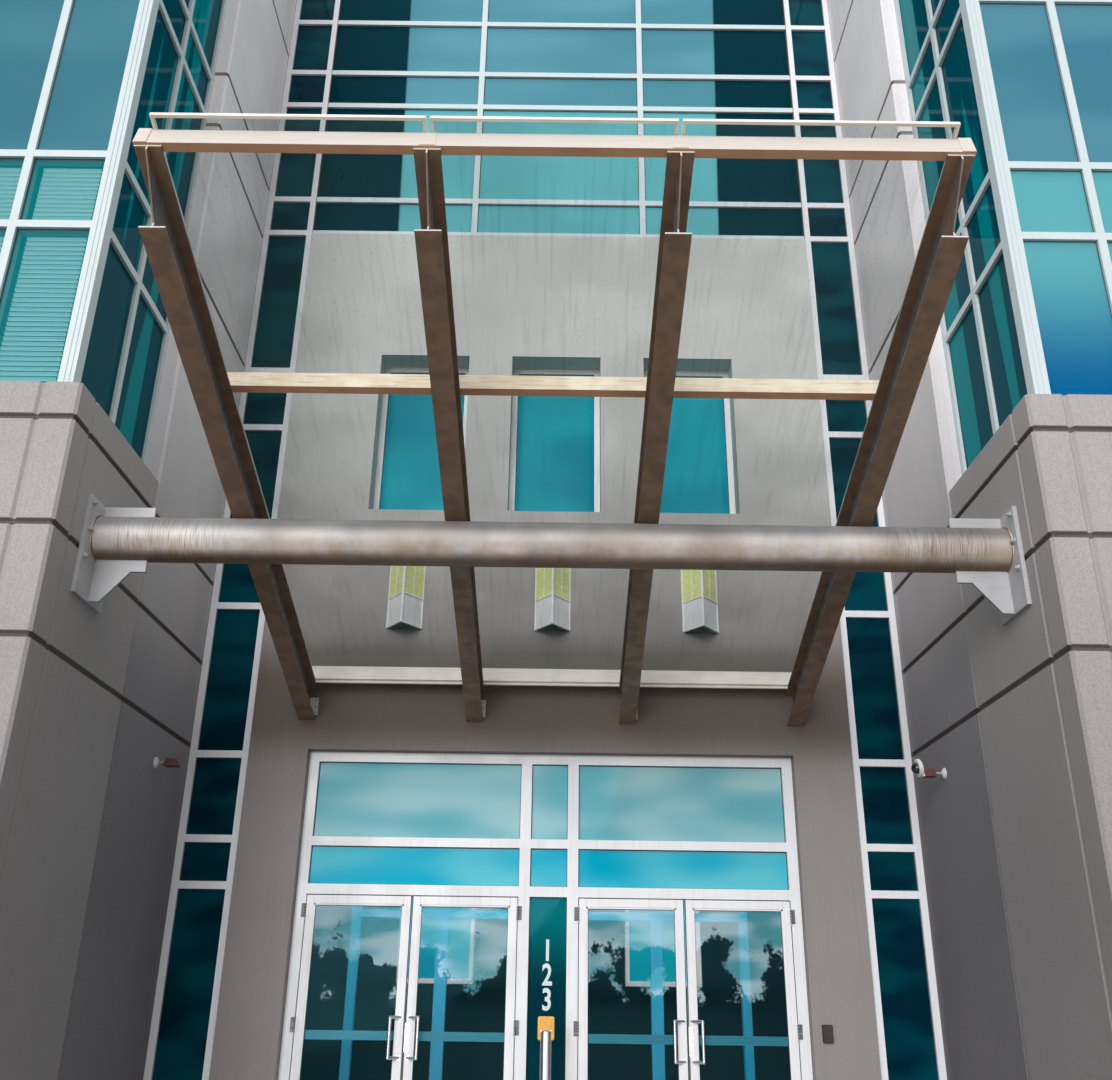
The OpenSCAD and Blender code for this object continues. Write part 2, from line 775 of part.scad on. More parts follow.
// An upright case with round corners and a raised face, its back at y = 0
module rounded_case(size, edge) {
    face_step = edge / 3;
    for (inset = [0, face_step]) rotate([90, 0, 0])
        linear_extrude(size[1] - face_step + inset) translate([0, size[2] / 2]) offset(edge - inset)
            square([size[0] - 2 * edge, size[2] - 2 * edge], center = true);
}

module card_reader() {
    color("#5d5450") translate([doorway_half + reader_x + reader_size[0] / 2, 0, reader_z])
        rounded_case(reader_size, reader_edge);
}

// Post with a push plate that opens the doors, standing before the side light
module opener_post() {
    color(stainless) translate([0, -post_y, 0]) {
        cylinder(r = 85, h = 12);
        rotate_extrude() polygon([[0, 0], [post_r, 0], [post_r, post_top - 8], [post_r - 8, post_top], [0, post_top]]);
    }
    color("#e8a51c") translate([0, -post_y + push_plate[1] - 4, push_plate_z]) {
        rounded_case(push_plate, push_plate_edge);
        translate([0, -push_plate[1], push_plate[2] * 0.68]) rotate([90, 0, 0])
            cylinder(r1 = push_disc_r, r2 = push_disc_r - 3, h = 5);
    }
}

ground_floor();
second_floor();
third_floor();
roof_slab();
parapet();
entrance_wall_side();  // entrance_wall_left
other_side() entrance_wall_side();  // entrance_wall_right
entrance_wall_over();
pier();  // pier_left
other_side() pier();  // pier_right
return_wall();  // return_wall_left
other_side() return_wall();  // return_wall_right
party_wall();  // party_wall_left
other_side() party_wall();  // party_wall_right
rear_wall();
glass_box_frame();  // glass_box_frame_left
other_side() glass_box_frame();  // glass_box_frame_right
coping();
inner_screen();
glass_box_side_frame();  // glass_box_side_frame_left
other_side() glass_box_side_frame();  // glass_box_side_frame_right
glass_box_panes();  // glass_box_panes_left
other_side() glass_box_panes();  // glass_box_panes_right
glazing_strip_frames();
glazing_strip_panes();
curtain_wall_frame();
curtain_wall_panes();
window_frames();
window_panes();
storefront_frame();
storefront_panes();
in_doorway(1) leaf_shape();  // door_leaf_1
in_doorway(2) leaf_shape();  // door_leaf_2
in_doorway(3) leaf_shape();  // door_leaf_3
in_doorway(4) leaf_shape();  // door_leaf_4
in_doorway(1) leaf_glass_shape();  // door_glass_1
in_doorway(2) leaf_glass_shape();  // door_glass_2
in_doorway(3) leaf_glass_shape();  // door_glass_3
in_doorway(4) leaf_glass_shape();  // door_glass_4
in_doorway(1) leaf_handles_shape(false);  // door_handles_1
in_doorway(2) leaf_handles_shape(true);  // door_handles_2
in_doorway(3) leaf_handles_shape(false);  // door_handles_3
in_doorway(4) leaf_handles_shape(true);  // door_handles_4
pipe_beam();
pipe_bracket();  // pipe_bracket_left
other_side() pipe_bracket();  // pipe_bracket_right
rafter(1);  // rafter_1
rafter(2);  // rafter_2
rafter(3);  // rafter_3
rafter(4);  // rafter_4
rafter_wall_clips();
cross_beam(fascia_s, fascia_w);  // fascia_beam
cross_beam(middle_s, middle_w);  // middle_purlin
rear_beam();  // rear_purlin
canopy_glass();
canopy_glass_frames();
wall_lights();
wall_cameras();
card_reader();
opener_post();
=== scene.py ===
# Office entrance bay: recessed doorway, glass canopy on a pipe beam, side wings with corner glazing
import json
import math

import bmesh
import bpy
from mathutils import Matrix, Vector


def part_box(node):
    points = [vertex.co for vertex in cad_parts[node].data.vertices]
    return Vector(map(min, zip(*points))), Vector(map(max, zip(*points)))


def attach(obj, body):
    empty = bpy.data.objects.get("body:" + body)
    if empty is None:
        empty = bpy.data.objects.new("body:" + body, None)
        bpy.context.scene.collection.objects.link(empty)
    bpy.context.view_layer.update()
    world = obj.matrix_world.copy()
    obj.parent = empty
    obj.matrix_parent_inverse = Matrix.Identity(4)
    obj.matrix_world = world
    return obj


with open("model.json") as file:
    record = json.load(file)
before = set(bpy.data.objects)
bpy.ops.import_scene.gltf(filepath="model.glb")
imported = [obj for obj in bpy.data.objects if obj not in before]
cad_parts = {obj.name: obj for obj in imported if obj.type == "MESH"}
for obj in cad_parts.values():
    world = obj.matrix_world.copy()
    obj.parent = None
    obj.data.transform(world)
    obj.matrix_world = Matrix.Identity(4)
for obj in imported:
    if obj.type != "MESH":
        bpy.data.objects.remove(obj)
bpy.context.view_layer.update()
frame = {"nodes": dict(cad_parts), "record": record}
nodes = frame["nodes"]
print("frame loaded:", len(nodes), "nodes")

# The photo was taken from the street, looking up
cameraView = {
    "place": (0.0594, -9.8502, 1.4455),
    "yaw": -0.215,
    "pitch": 22.696,
    "roll": 0.830,
    "lens": 35.617,
    "sensor": 36.0,
    "farEnd": 200.0,
}

studio = {
    "zenith": 1.75,
    "horizon": 0.3,
    "horizonTo": (-0.05, 0.9),
    "skySeenInGlass": (0.86, 0.94, 0.97),
    "keyStrength": 2.2,
    "keyAngle": 35.0,
    "keyTurn": (75.0, 0.0, -14.0),
    "backStrength": 0.9,
    "backTurn": (55.0, 0.0, 160.0),
    "floorSeen": (0.84, 0.84, 0.83),
    "floorLight": (0.2, 0.195, 0.19),
    "floorHalf": 30.0,
    "floorRoughness": 0.9,
    "lobbyWatts": 240.0,
    "lobbySize": (4.0, 0.4),
    "lobbyPlace": (0.0, 0.6, 3.9),
    "lobbyTilt": 50.0,
}


# Node helpers: a value may be a plain number or colour, or the output socket of another node
def plug(tree, socket, value):
    if isinstance(value, bpy.types.NodeSocket):
        tree.links.new(value, socket)
    elif socket.type == "RGBA":
        socket.default_value = (*value, 1.0)
    else:
        socket.default_value = value


def blendColours(tree, factor, first, second, kind="MIX"):
    mix = tree.nodes.new("ShaderNodeMix")
    mix.data_type = "RGBA"
    mix.blend_type = kind
    plug(tree, mix.inputs[0], factor)
    plug(tree, mix.inputs[6], first)
    plug(tree, mix.inputs[7], second)
    return mix.outputs[2]


def stain(tree, colour, mask, depth, tone, kind="MULTIPLY"):
    return blendColours(tree, times(tree, mask, depth), colour, tone, kind)


def maths(tree, kind, first, second=0.0):
    node = tree.nodes.new("ShaderNodeMath")
    node.operation = kind
    plug(tree, node.inputs[0], first)
    plug(tree, node.inputs[1], second)
    return node.outputs[0]


def times(tree, first, second):
    return maths(tree, "MULTIPLY", first, second)


def vectorMaths(tree, kind, first, second):
    node = tree.nodes.new("ShaderNodeVectorMath")
    node.operation = kind
    plug(tree, node.inputs[0], first)
    plug(tree, node.inputs[1], second)
    return node.outputs


def vectorOf(tree, x, y, z):
    combine = tree.nodes.new("ShaderNodeCombineXYZ")
    for socket, value in zip(combine.inputs, (x, y, z)):
        plug(tree, socket, value)
    return combine.outputs[0]


def splitUp(tree, vector):
    split = tree.nodes.new("ShaderNodeSeparateXYZ")
    plug(tree, split.inputs[0], vector)
    return split.outputs


def coordinates(tree, kind="Object"):
    return tree.nodes.new("ShaderNodeTexCoord").outputs[kind]


def remap(tree, value, low, high, toLow=0.0, toHigh=1.0):
    ramp = tree.nodes.new("ShaderNodeMapRange")
    ramp.interpolation_type = "SMOOTHSTEP"
    for index, number in enumerate((value, low, high, toLow, toHigh)):
        plug(tree, ramp.inputs[index], number)
    return ramp.outputs["Result"]


def stepAt(tree, value, edge, soft, toLow=0.0, toHigh=1.0):
    return remap(tree, value, edge, edge + soft, toLow, toHigh)


def noiseAt(tree, vector, scale, detail, low, high):
    noise = tree.nodes.new("ShaderNodeTexNoise")
    plug(tree, noise.inputs["Vector"], vector)
    plug(tree, noise.inputs["Scale"], scale)
    plug(tree, noise.inputs["Detail"], detail)
    return remap(tree, noise.outputs["Fac"], low, high)


def startGroup(name, inputs, outputs):
    group = bpy.data.node_groups.new(name, "ShaderNodeTree")
    for label, value in inputs.items():
        socket = group.interface.new_socket(label, in_out="INPUT", socket_type="NodeSocketFloat")
        socket.default_value = value
    for label in outputs:
        group.interface.new_socket(label, in_out="OUTPUT", socket_type="NodeSocketFloat")
    return group, group.nodes.new("NodeGroupInput").outputs, group.nodes.new("NodeGroupOutput").inputs


def useGroup(tree, group, **values):
    node = tree.nodes.new("ShaderNodeGroup")
    node.node_tree = group
    for label, value in values.items():
        plug(tree, node.inputs[label], value)
    return node.outputs


# Speckle of the surface itself, and slow cloudy change over it
def makeGrainGroup():
    group, given, result = startGroup("surfaceGrain", {"Grain": 0.01, "Patch": 0.6}, ("Speckle", "Cloud"))
    place = coordinates(group)
    for label, size, low, high in (("Speckle", "Grain", 0.3, 0.7), ("Cloud", "Patch", 0.32, 0.68)):
        scale = maths(group, "DIVIDE", 1.0, given[size])
        plug(group, result[label], noiseAt(group, place, scale, 2.0, low, high))
    return group


# Marks that run along one axis: narrow across, long the other way
def makeStreakGroup():
    inputs = {"Across X": 0.05, "Across Y": 0.05, "Across Z": 1.0, "Low": 0.5, "High": 0.75}
    group, given, result = startGroup("runningMarks", inputs, ("Marks",))
    sizes = vectorOf(group, given["Across X"], given["Across Y"], given["Across Z"])
    stretched = vectorMaths(group, "DIVIDE", coordinates(group), sizes)["Vector"]
    plug(group, result["Marks"], noiseAt(group, stretched, 1.0, 1.0, given["Low"], given["High"]))
    return group


# How high a point lies between two levels, and which way its face looks
def makeStandGroup():
    group, given, result = startGroup(
        "standing", {"Low Z": 0.0, "High Z": 1.0, "Down From": 0.45, "Down To": -0.75, "Lift": 0.0},
        ("Level", "Down", "Sideways", "Street", "Up", "Low"))
    lifted = maths(group, "ADD", splitUp(group, coordinates(group))["Z"], given["Lift"])
    facing = splitUp(group, coordinates(group, "Normal"))
    masks = {
        "Level": (lifted, given["Low Z"], given["High Z"]),
        "Down": (facing["Z"], given["Down From"], given["Down To"]),
        "Sideways": (maths(group, "POWER", facing["X"], 2.0), 0.3, 0.7), "Street": (facing["Y"], -0.7, -0.9),
        "Up": (facing["Z"], -0.1, 0.5), "Low": (facing["Z"], 0.1, -0.6),
    }
    for label, (value, low, high) in masks.items():
        plug(group, result[label], remap(group, value, low, high))
    return group


grainGroup = makeGrainGroup()
streakGroup = makeStreakGroup()
standGroup = makeStandGroup()


def grainOf(tree, grain, patch):
    outputs = useGroup(tree, grainGroup, Grain=grain, Patch=patch)
    return outputs["Speckle"], outputs["Cloud"]


def streaks(tree, acrossX, acrossY, acrossZ, low=0.5, high=0.75):
    sizes = {"Across X": acrossX, "Across Y": acrossY, "Across Z": acrossZ}
    return useGroup(tree, streakGroup, **sizes, Low=low, High=high)["Marks"]


def levelBetween(tree, low, high, lift=0.0):
    return useGroup(tree, standGroup, **{"Low Z": low, "High Z": high, "Lift": lift})


def startMaterial(name, look):
    material = bpy.data.materials.new(name)
    material.use_nodes = True
    tree = material.node_tree
    shader = tree.nodes["Principled BSDF"]
    for label in ("IOR", "Specular IOR Level", "Specular Tint", "Alpha"):
        if label in look:
            plug(tree, shader.inputs[label], look[label])
    return material, tree, shader


def spread(tree, shader, label, mask, low, high):
    plug(tree, shader.inputs[label], remap(tree, mask, 0.0, 1.0, low, high))


def addBump(tree, shader, height, strength, distance):
    bump = tree.nodes.new("ShaderNodeBump")
    plug(tree, bump.inputs["Strength"], strength)
    plug(tree, bump.inputs["Distance"], distance)
    plug(tree, bump.inputs["Height"], height)
    plug(tree, shader.inputs["Normal"], bump.outputs["Normal"])


masonry = {
    "runHeight": 1.4, "grooveEdge": (0.025, 0.018), "ceilingShadeDepth": 0.9, "innerFade": 0.1,
    "roughness": (0.78, 0.96), "bumpDistance": 0.002,
}


# Stucco, stone panels and concrete: darker low down as painted shade, speckled, with faint upright runs
def makeMasonry(name, look):
    material, tree, shader = startMaterial(name, look)
    place = splitUp(tree, coordinates(tree))
    speckle, cloud = grainOf(tree, look["grain"], look["patch"])
    stand = levelBetween(tree, look["lowZ"], look["highZ"])
    runs = streaks(tree, look["run"], look["run"], masonry["runHeight"])
    # The low colour below and the high colour above are painted shade: the walls darken towards the ground
    # and under the canopy
    colour = blendColours(tree, stand["Level"], look["low"], look["high"])
    colour = stain(tree, colour, speckle, look["speckleDepth"], look["speckleTone"])
    colour = stain(tree, colour, cloud, look["cloudDepth"], look["cloudTone"])
    colour = stain(tree, colour, runs, look["runDepth"], look["cloudTone"])
    # A dark band just above the doors, under the canopy's rear edge: a painted shadow of the canopy, with
    # soot in it
    if "band" in look:
        start, full, fade, end = look["band"]
        canopyShadowAndSoot = times(tree, remap(tree, place["Z"], start, full), remap(tree, place["Z"], end, fade))
        colour = stain(tree, colour, canopyShadowAndSoot, 1.0, look["bandTone"])
    # The level grooves are darkened: painted shade in their hollows
    inGroove = 0.0
    for level in look["grooves"]:
        off = maths(tree, "ABSOLUTE", maths(tree, "SUBTRACT", place["Z"], level))
        inGroove = maths(tree, "MAXIMUM", inGroove, remap(tree, off, *masonry["grooveEdge"]))
    colour = stain(tree, colour, inGroove, look["grooveDepth"], look["grooveShadeTone"])
    # Faces turned down take a dark tone: painted shade on ceilings and undersides
    if "ceilingShadeTone" in look:
        colour = stain(tree, colour, stand["Down"], masonry["ceilingShadeDepth"], look["ceilingShadeTone"], "MIX")
    # The rear wall's inside, where it looks to the street, turns near-black teal: painted shade of the dark
    # lobby
    if "innerFrom" in look:
        inside = stepAt(tree, place["Y"], look["innerFrom"], masonry["innerFade"])
        inside = times(tree, inside, stand["Street"])
        colour = stain(tree, colour, inside, 1.0, look["lobbyShadeTone"], "MIX")
    plug(tree, shader.inputs["Base Color"], colour)
    spread(tree, shader, "Roughness", speckle, *masonry["roughness"])
    addBump(tree, shader, speckle, look["bump"], masonry["bumpDistance"])
    return material


paint = {
    "downFrom": (0.45, -0.75), "runs": (0.52, 0.7), "underCloud": 0.5,
    "dripLines": (0.0045, 0.3, 0.16, 0.52, 0.62), "dripEnd": 0.1, "dripRagged": 0.06, "dripFade": 0.04,
    "dripDepth": 0.62, "patches": (0.09, 0.4), "rustDepth": 0.6, "streetHighlightDepth": 0.9, "behindFade": 0.001,
    "bumpDistance": 0.0006,
}


# Painted and coated metal: a face colour, an underside colour (painted shade on the white, grey and dark
# paints, rust brown on the rafters, brown on the cream steel and the pipe), runs and rust spots
def makePaint(name, look):
    material, tree, shader = startMaterial(name, look)
    place = splitUp(tree, coordinates(tree))
    speckle, cloud = grainOf(tree, look["grain"], look["patch"])
    start, full = look.get("downFrom", paint["downFrom"])
    stand = useGroup(tree, standGroup, **{"Down From": start, "Down To": full})
    runs = streaks(tree, look["runX"], look["runY"], look["runZ"], *paint["runs"])
    colour = stain(tree, look["face"], cloud, look["cloudDepth"], look["cloudTone"], "MIX")
    colour = stain(tree, colour, runs, look["runDepth"], look["runTone"], "MIX")
    colour = stain(tree, colour, speckle, look["speckleDepth"], look["speckleTone"])
    # The underside colour: painted shade on the white, grey and dark paints; rust brown on the rafters; brown
    # on the cream steel and the pipe
    under = stain(tree, look["under"], cloud, paint["underCloud"], look["underTone"], "MIX")
    colour = stain(tree, colour, stand["Down"], look["underDepth"], under, "MIX")
    # Faces turned up are darkened: painted shade on the top of the pipe
    if "topShadeTone" in look:
        colour = stain(tree, colour, stand["Up"], 1.0, look["topShadeTone"])
    if "drips" in look:
        start, fade, end = look["drips"]
        aside = maths(tree, "ABSOLUTE", place["X"])
        reach = times(tree, stepAt(tree, aside, start, -paint["dripEnd"]), remap(tree, aside, end, fade))
        ragged = maths(tree, "ADD", place["Z"], times(tree, cloud, paint["dripRagged"]))
        reach = times(tree, reach, stepAt(tree, ragged, look["dripTop"], -paint["dripFade"]))
        drips = times(tree, reach, streaks(tree, *paint["dripLines"]))
        colour = stain(tree, colour, drips, paint["dripDepth"], look["dripTone"])
    if "patchTone" in look:
        spots, patches = grainOf(tree, *paint["patches"])
        colour = stain(tree, colour, patches, look["patchDepth"], look["patchTone"])
        colour = stain(tree, colour, times(tree, spots, stand["Low"]), paint["rustDepth"], look["rustTone"])
    # Faces looking to the street are made pale: a painted highlight on the lit ends of the rafters and other
    # steel
    if "streetFaceHighlight" in look:
        colour = stain(tree, colour, stand["Street"], paint["streetHighlightDepth"], look["streetFaceHighlight"], "MIX")
    # Parts behind the door glass take a cyan tone: the glass's tint and light, painted on
    if "behind" in look:
        behind = stepAt(tree, place["Y"], look["behind"], paint["behindFade"])
        colour = stain(tree, colour, behind, 1.0, look["behindTone"], "MIX")
    plug(tree, shader.inputs["Base Color"], colour)
    spread(tree, shader, "Roughness", cloud, *look["roughness"])
    addBump(tree, shader, speckle, look["bump"], paint["bumpDistance"])
    return material


glazing = {
    "cloudHeight": 0.35, "skyReflections": (0.35, 0.65), "leaf": 0.02, "clump": 0.9, "leafShare": 0.2,
    "bands": (9.0, 0.3, 9.0, 0.52, 0.54), "wingFade": 0.03, "wingAlpha": 0.96, "rearFade": 0.1,
    "rearAlpha": 0.98, "roughness": (0.02, 0.06),
}


# Coated glazing: a tinted sheet with painted cloud reflections in it, darker or clearer below a ragged or
# level edge
def makeGlass(name, look):
    material, tree, shader = startMaterial(name, look)
    place = splitUp(tree, coordinates(tree))
    # Soft clouds in the colour: painted reflections of the sky
    wide = look["cloud"]
    skyReflections = streaks(tree, wide, wide, wide * glazing["cloudHeight"], *glazing["skyReflections"])
    leaves, clumps = grainOf(tree, look.get("leaf", glazing["leaf"]), look.get("clump", glazing["clump"]))
    lift = 0.0
    # The ragged edge is a painted reflection of a tree line: dark below, sky above
    if "ragged" in look:
        lift = maths(tree, "SUBTRACT", look["ragged"] / 2, times(tree, clumps, look["ragged"]))
        lift = maths(tree, "ADD", lift, times(tree, leaves, look["ragged"] * glazing["leafShare"]))
    stand = levelBetween(tree, look["lowZ"], look["highZ"], lift)
    high = blendColours(tree, skyReflections, look["dark"], look["pale"])
    low = look["low"]
    if "lowPale" in look:
        low = blendColours(tree, skyReflections, low, look["lowPale"])
    # A darker foot: painted shade of the dark room behind the glass
    if "foot" in look:
        footTone = look["foot"]
        if "footMiddle" in look:
            rising = levelBetween(tree, *look["middleZ"])
            footTone = blendColours(tree, rising["Level"], footTone, look["footMiddle"])
        foot = levelBetween(tree, look["footZ"], look["footTop"])
        low = blendColours(tree, foot["Level"], footTone, low)
    colour = blendColours(tree, stand["Level"], low, high)
    # Panes facing sideways are darkened: a painted reflection of the shaded recess walls, crossed on the
    # boxes by paler painted reflection bands
    side = look["side"]
    if "bandTone" in look:
        side = blendColours(tree, streaks(tree, *glazing["bands"]), side, look["bandTone"])
    colour = stain(tree, colour, stand["Sideways"], look["sideReflectionDepth"], side, "MIX")
    # A dark margin up the curtain wall's outer columns: a painted reflection of the side wings
    if "wingFrom" in look:
        aside = maths(tree, "ABSOLUTE", place["X"])
        leaning = maths(tree, "ADD", aside, times(tree, place["Z"], look["wingLean"]))
        wing = stepAt(tree, leaning, look["wingFrom"], glazing["wingFade"])
        colour = blendColours(tree, wing, colour, look["wing"])
        spread(tree, shader, "Alpha", wing, look["Alpha"], glazing["wingAlpha"])
    if "lowAlpha" in look:
        cover = remap(tree, stand["Level"], 0.0, 1.0, look["lowAlpha"], look["Alpha"])
        cover = maths(tree, "MAXIMUM", cover, times(tree, stand["Sideways"], look["Alpha"]))
        plug(tree, shader.inputs["Alpha"], cover)
    if "rearFrom" in look:
        plug(tree, shader.inputs["Alpha"], stepAt(
            tree, place["Y"], look["rearFrom"], glazing["rearFade"], look["Alpha"], glazing["rearAlpha"]))
    plug(tree, shader.inputs["Base Color"], colour)
    spread(tree, shader, "Roughness", clumps, *glazing["roughness"])
    return material


brushed = {
    "lines": (0.3, 0.7), "grain": (0.004, 0.12), "smudgeDepth": 0.35, "behindFade": 0.001,
    "behindDepth": 0.95, "behindMetal": 0.1, "bump": (0.15, 0.0004),
}


# Brushed metal: fine lines along one axis in the roughness and the bump; behind the door glass it takes a
# painted cyan that stands for the glass's tint and light
def makeBrushed(name, look):
    material, tree, shader = startMaterial(name, look)
    lines = streaks(tree, *look["lines"], *brushed["lines"])
    cloud = grainOf(tree, *brushed["grain"])[1]
    colour = blendColours(tree, lines, look["dark"], look["pale"])
    colour = stain(tree, colour, cloud, brushed["smudgeDepth"], look["smudge"])
    # Behind the door glass: a painted cyan for the glass's tint and light, and a less metallic surface
    behind = stepAt(tree, splitUp(tree, coordinates(tree))["Y"], look["behind"], brushed["behindFade"])
    colour = stain(tree, colour, behind, brushed["behindDepth"], look["behindTone"], "MIX")
    plug(tree, shader.inputs["Base Color"], colour)
    spread(tree, shader, "Metallic", behind, 1.0, brushed["behindMetal"])
    spread(tree, shader, "Roughness", lines, *look["roughness"])
    addBump(tree, shader, lines, *brushed["bump"])
    return material


# Opener post: brushed steel inside the post's radius, and the painted push plate beside and above it
def makeOpener(name, look):
    material, tree, shader = startMaterial(name, look)
    place = splitUp(tree, coordinates(tree))
    lines = streaks(tree, *look["lines"], *brushed["lines"])
    cloud = grainOf(tree, *look["grain"])[1]
    fromAxis = maths(tree, "SUBTRACT", place["Y"], look["axisY"])
    away = maths(tree, "SQRT", maths(
        tree, "ADD", times(tree, fromAxis, fromAxis), times(tree, place["X"], place["X"])))
    plate = times(tree, stepAt(tree, away, look["radius"], look["radiusFade"]),
                  stepAt(tree, place["Z"], look["plateFoot"], look["footFade"]))
    plate = maths(tree, "MAXIMUM", plate, stepAt(tree, place["Z"], look["postTop"], look["radiusFade"]))
    painted = blendColours(tree, cloud, look["paint"], look["wornPaint"])
    steel = blendColours(tree, lines, look["dark"], look["pale"])
    plug(tree, shader.inputs["Base Color"], blendColours(tree, plate, steel, painted))
    spread(tree, shader, "Metallic", plate, 1.0, 0.0)
    rough = remap(tree, lines, 0.0, 1.0, *look["roughness"])
    rough = maths(tree, "ADD", rough, times(tree, plate, look["plateRougher"]))
    plug(tree, shader.inputs["Roughness"], rough)
    addBump(tree, shader, lines, *look["bump"])
    return material


# Wall cameras: pale base and ring, grey arm, red-brown hood with a black underside, glossy black ball
def makeCameraFinish(name, look):
    material, tree, shader = startMaterial(name, look)
    position = coordinates(tree)
    place = splitUp(tree, position)
    stand = useGroup(tree, standGroup)
    speckle, cloud = grainOf(tree, *look["grain"])
    aside = maths(tree, "ABSOLUTE", place["X"])
    hood = blendColours(tree, stand["Down"], look["hood"], look["below"])
    hood = stain(tree, hood, cloud, look["hoodCloud"], look["below"], "MIX")
    colour = blendColours(tree, stepAt(tree, aside, look["hoodFrom"], look["hoodFade"]), hood, look["arm"])
    colour = blendColours(tree, stepAt(tree, aside, look["baseEnd"], look["baseFade"]), colour, look["base"])
    fromRing = vectorMaths(tree, "SUBTRACT", position, look["ringPlace"])["Vector"]
    along = vectorMaths(tree, "DOT_PRODUCT", fromRing, look["ringAxis"])["Value"]
    ring = times(tree, stepAt(tree, along, 0.0, look["ringFade"]), stepAt(tree, place["X"], 0.0, 1.0))
    colour = blendColours(tree, ring, colour, look["base"])
    apart = vectorMaths(tree, "DISTANCE", position, look["ballPlace"])["Value"]
    ball = stepAt(tree, apart, look["ballRadius"], -look["ballFade"])
    plug(tree, shader.inputs["Base Color"], blendColours(tree, ball, colour, look["ball"]))
    rough = remap(tree, cloud, 0.0, 1.0, *look["roughness"])
    rough = maths(tree, "SUBTRACT", rough, times(tree, ball, look["ballSmoother"]))
    plug(tree, shader.inputs["Roughness"], rough)
    addBump(tree, shader, speckle, *look["bump"])
    return material


# Hazy canopy glass: dust film, specks, and a greener, dirtier band towards the wall
def makeCanopyGlass(name, look):
    material, tree, shader = startMaterial(name, look)
    speckle, cloud = grainOf(tree, *look["grain"])
    drips = streaks(tree, *look["drips"])
    nearWall = remap(tree, splitUp(tree, coordinates(tree))["Y"], *look["band"])
    specks = remap(tree, speckle, look["speckFrom"], 1.0)
    colour = stain(tree, look["film"], cloud, look["filmDepth"], look["filmTone"], "MIX")
    colour = stain(tree, colour, nearWall, look["bandDepth"], look["bandTone"], "MIX")
    colour = stain(tree, colour, specks, look["speckDepth"], look["speckTone"], "MIX")
    plug(tree, shader.inputs["Base Color"], colour)
    cover = remap(tree, cloud, 0.0, 1.0, *look["cover"])
    cover = maths(tree, "ADD", cover, times(tree, nearWall, look["bandCover"]))
    cover = maths(tree, "ADD", cover, times(tree, drips, look["dripCover"]))
    cover = maths(tree, "MAXIMUM", cover, times(tree, specks, look["speckCover"]))
    plug(tree, shader.inputs["Alpha"], cover)
    spread(tree, shader, "Roughness", cloud, *look["roughness"])
    return material


# Stucco, and the stone and wall stuccos made from it: the low and high colours are painted shade, darker
# towards the ground
stuccoLook = {
    "low": (0.2, 0.188, 0.2), "high": (0.97, 0.92, 0.94), "lowZ": 2.2, "highZ": 8.2, "grain": 0.012,
    "patch": 0.9, "run": 0.018, "speckleDepth": 0.35, "speckleTone": (0.62, 0.6, 0.58), "cloudDepth": 0.25,
    "cloudTone": (0.76, 0.74, 0.73), "runDepth": 0.25, "bump": 0.35,
    # The groove tone is painted shade in the level grooves
    "grooves": (3.52, 4.289, 5.069, 7.5, 9.14, 9.78, 11.79), "grooveDepth": 0.85,
    "grooveShadeTone": (0.17, 0.13, 0.11),
}
# Entrance wall: darker below the canopy as painted shade, and a band above the doors that is a painted canopy
# shadow with soot
wallLook = {
    **stuccoLook, "low": (0.31, 0.283, 0.278), "high": (0.62, 0.64, 0.62), "lowZ": 3.9, "highZ": 7.8,
    "band": (3.3, 3.75, 4.1, 4.7), "bandTone": (0.5, 0.44, 0.38), "grooves": (),
}
stoneLook = {
    **stuccoLook, "low": (0.32, 0.3, 0.3), "high": (0.45, 0.42, 0.418), "lowZ": 1.5, "highZ": 4.8,
    "grain": 0.009, "speckleDepth": 0.5, "speckleTone": (0.66, 0.62, 0.61), "runDepth": 0.2,
    "grooves": (3.52, 4.289, 5.069), "grooveDepth": 0.85,
}
sideWallLook = {
    **stuccoLook, "low": (0.36, 0.34, 0.33), "high": (0.46, 0.44, 0.43), "lowZ": 0.0, "grooves": (),
}
# Rear wall: the near-black teal on its street-facing inside is painted shade of the dark lobby
rearWallLook = {**sideWallLook, "innerFrom": 3.0, "lobbyShadeTone": (0.008, 0.035, 0.04)}
# Concrete: the ceiling tone is painted shade on faces turned down
concreteLook = {
    **stuccoLook, "low": (0.4, 0.39, 0.37), "high": (0.44, 0.43, 0.41), "lowZ": 0.0, "grain": 0.02,
    "speckleDepth": 0.35, "bump": 0.25, "grooves": (), "ceilingShadeTone": (0.12, 0.16, 0.17),
}
# White paint for the frames out in full light, its face kept dim; its darker underside is painted shade
whiteLook = {
    "face": (0.66, 0.75, 0.77), "under": (0.54, 0.59, 0.61), "underTone": (0.48, 0.5, 0.5),
    "underDepth": 0.6, "grain": 0.006, "patch": 0.35, "cloudDepth": 0.35, "cloudTone": (0.6, 0.7, 0.72),
    "runX": 0.02, "runY": 0.02, "runZ": 0.5, "runDepth": 0.18, "runTone": (0.55, 0.55, 0.56),
    "speckleDepth": 0.12, "speckleTone": (0.7, 0.7, 0.7), "roughness": (0.32, 0.5), "bump": 0.08,
}
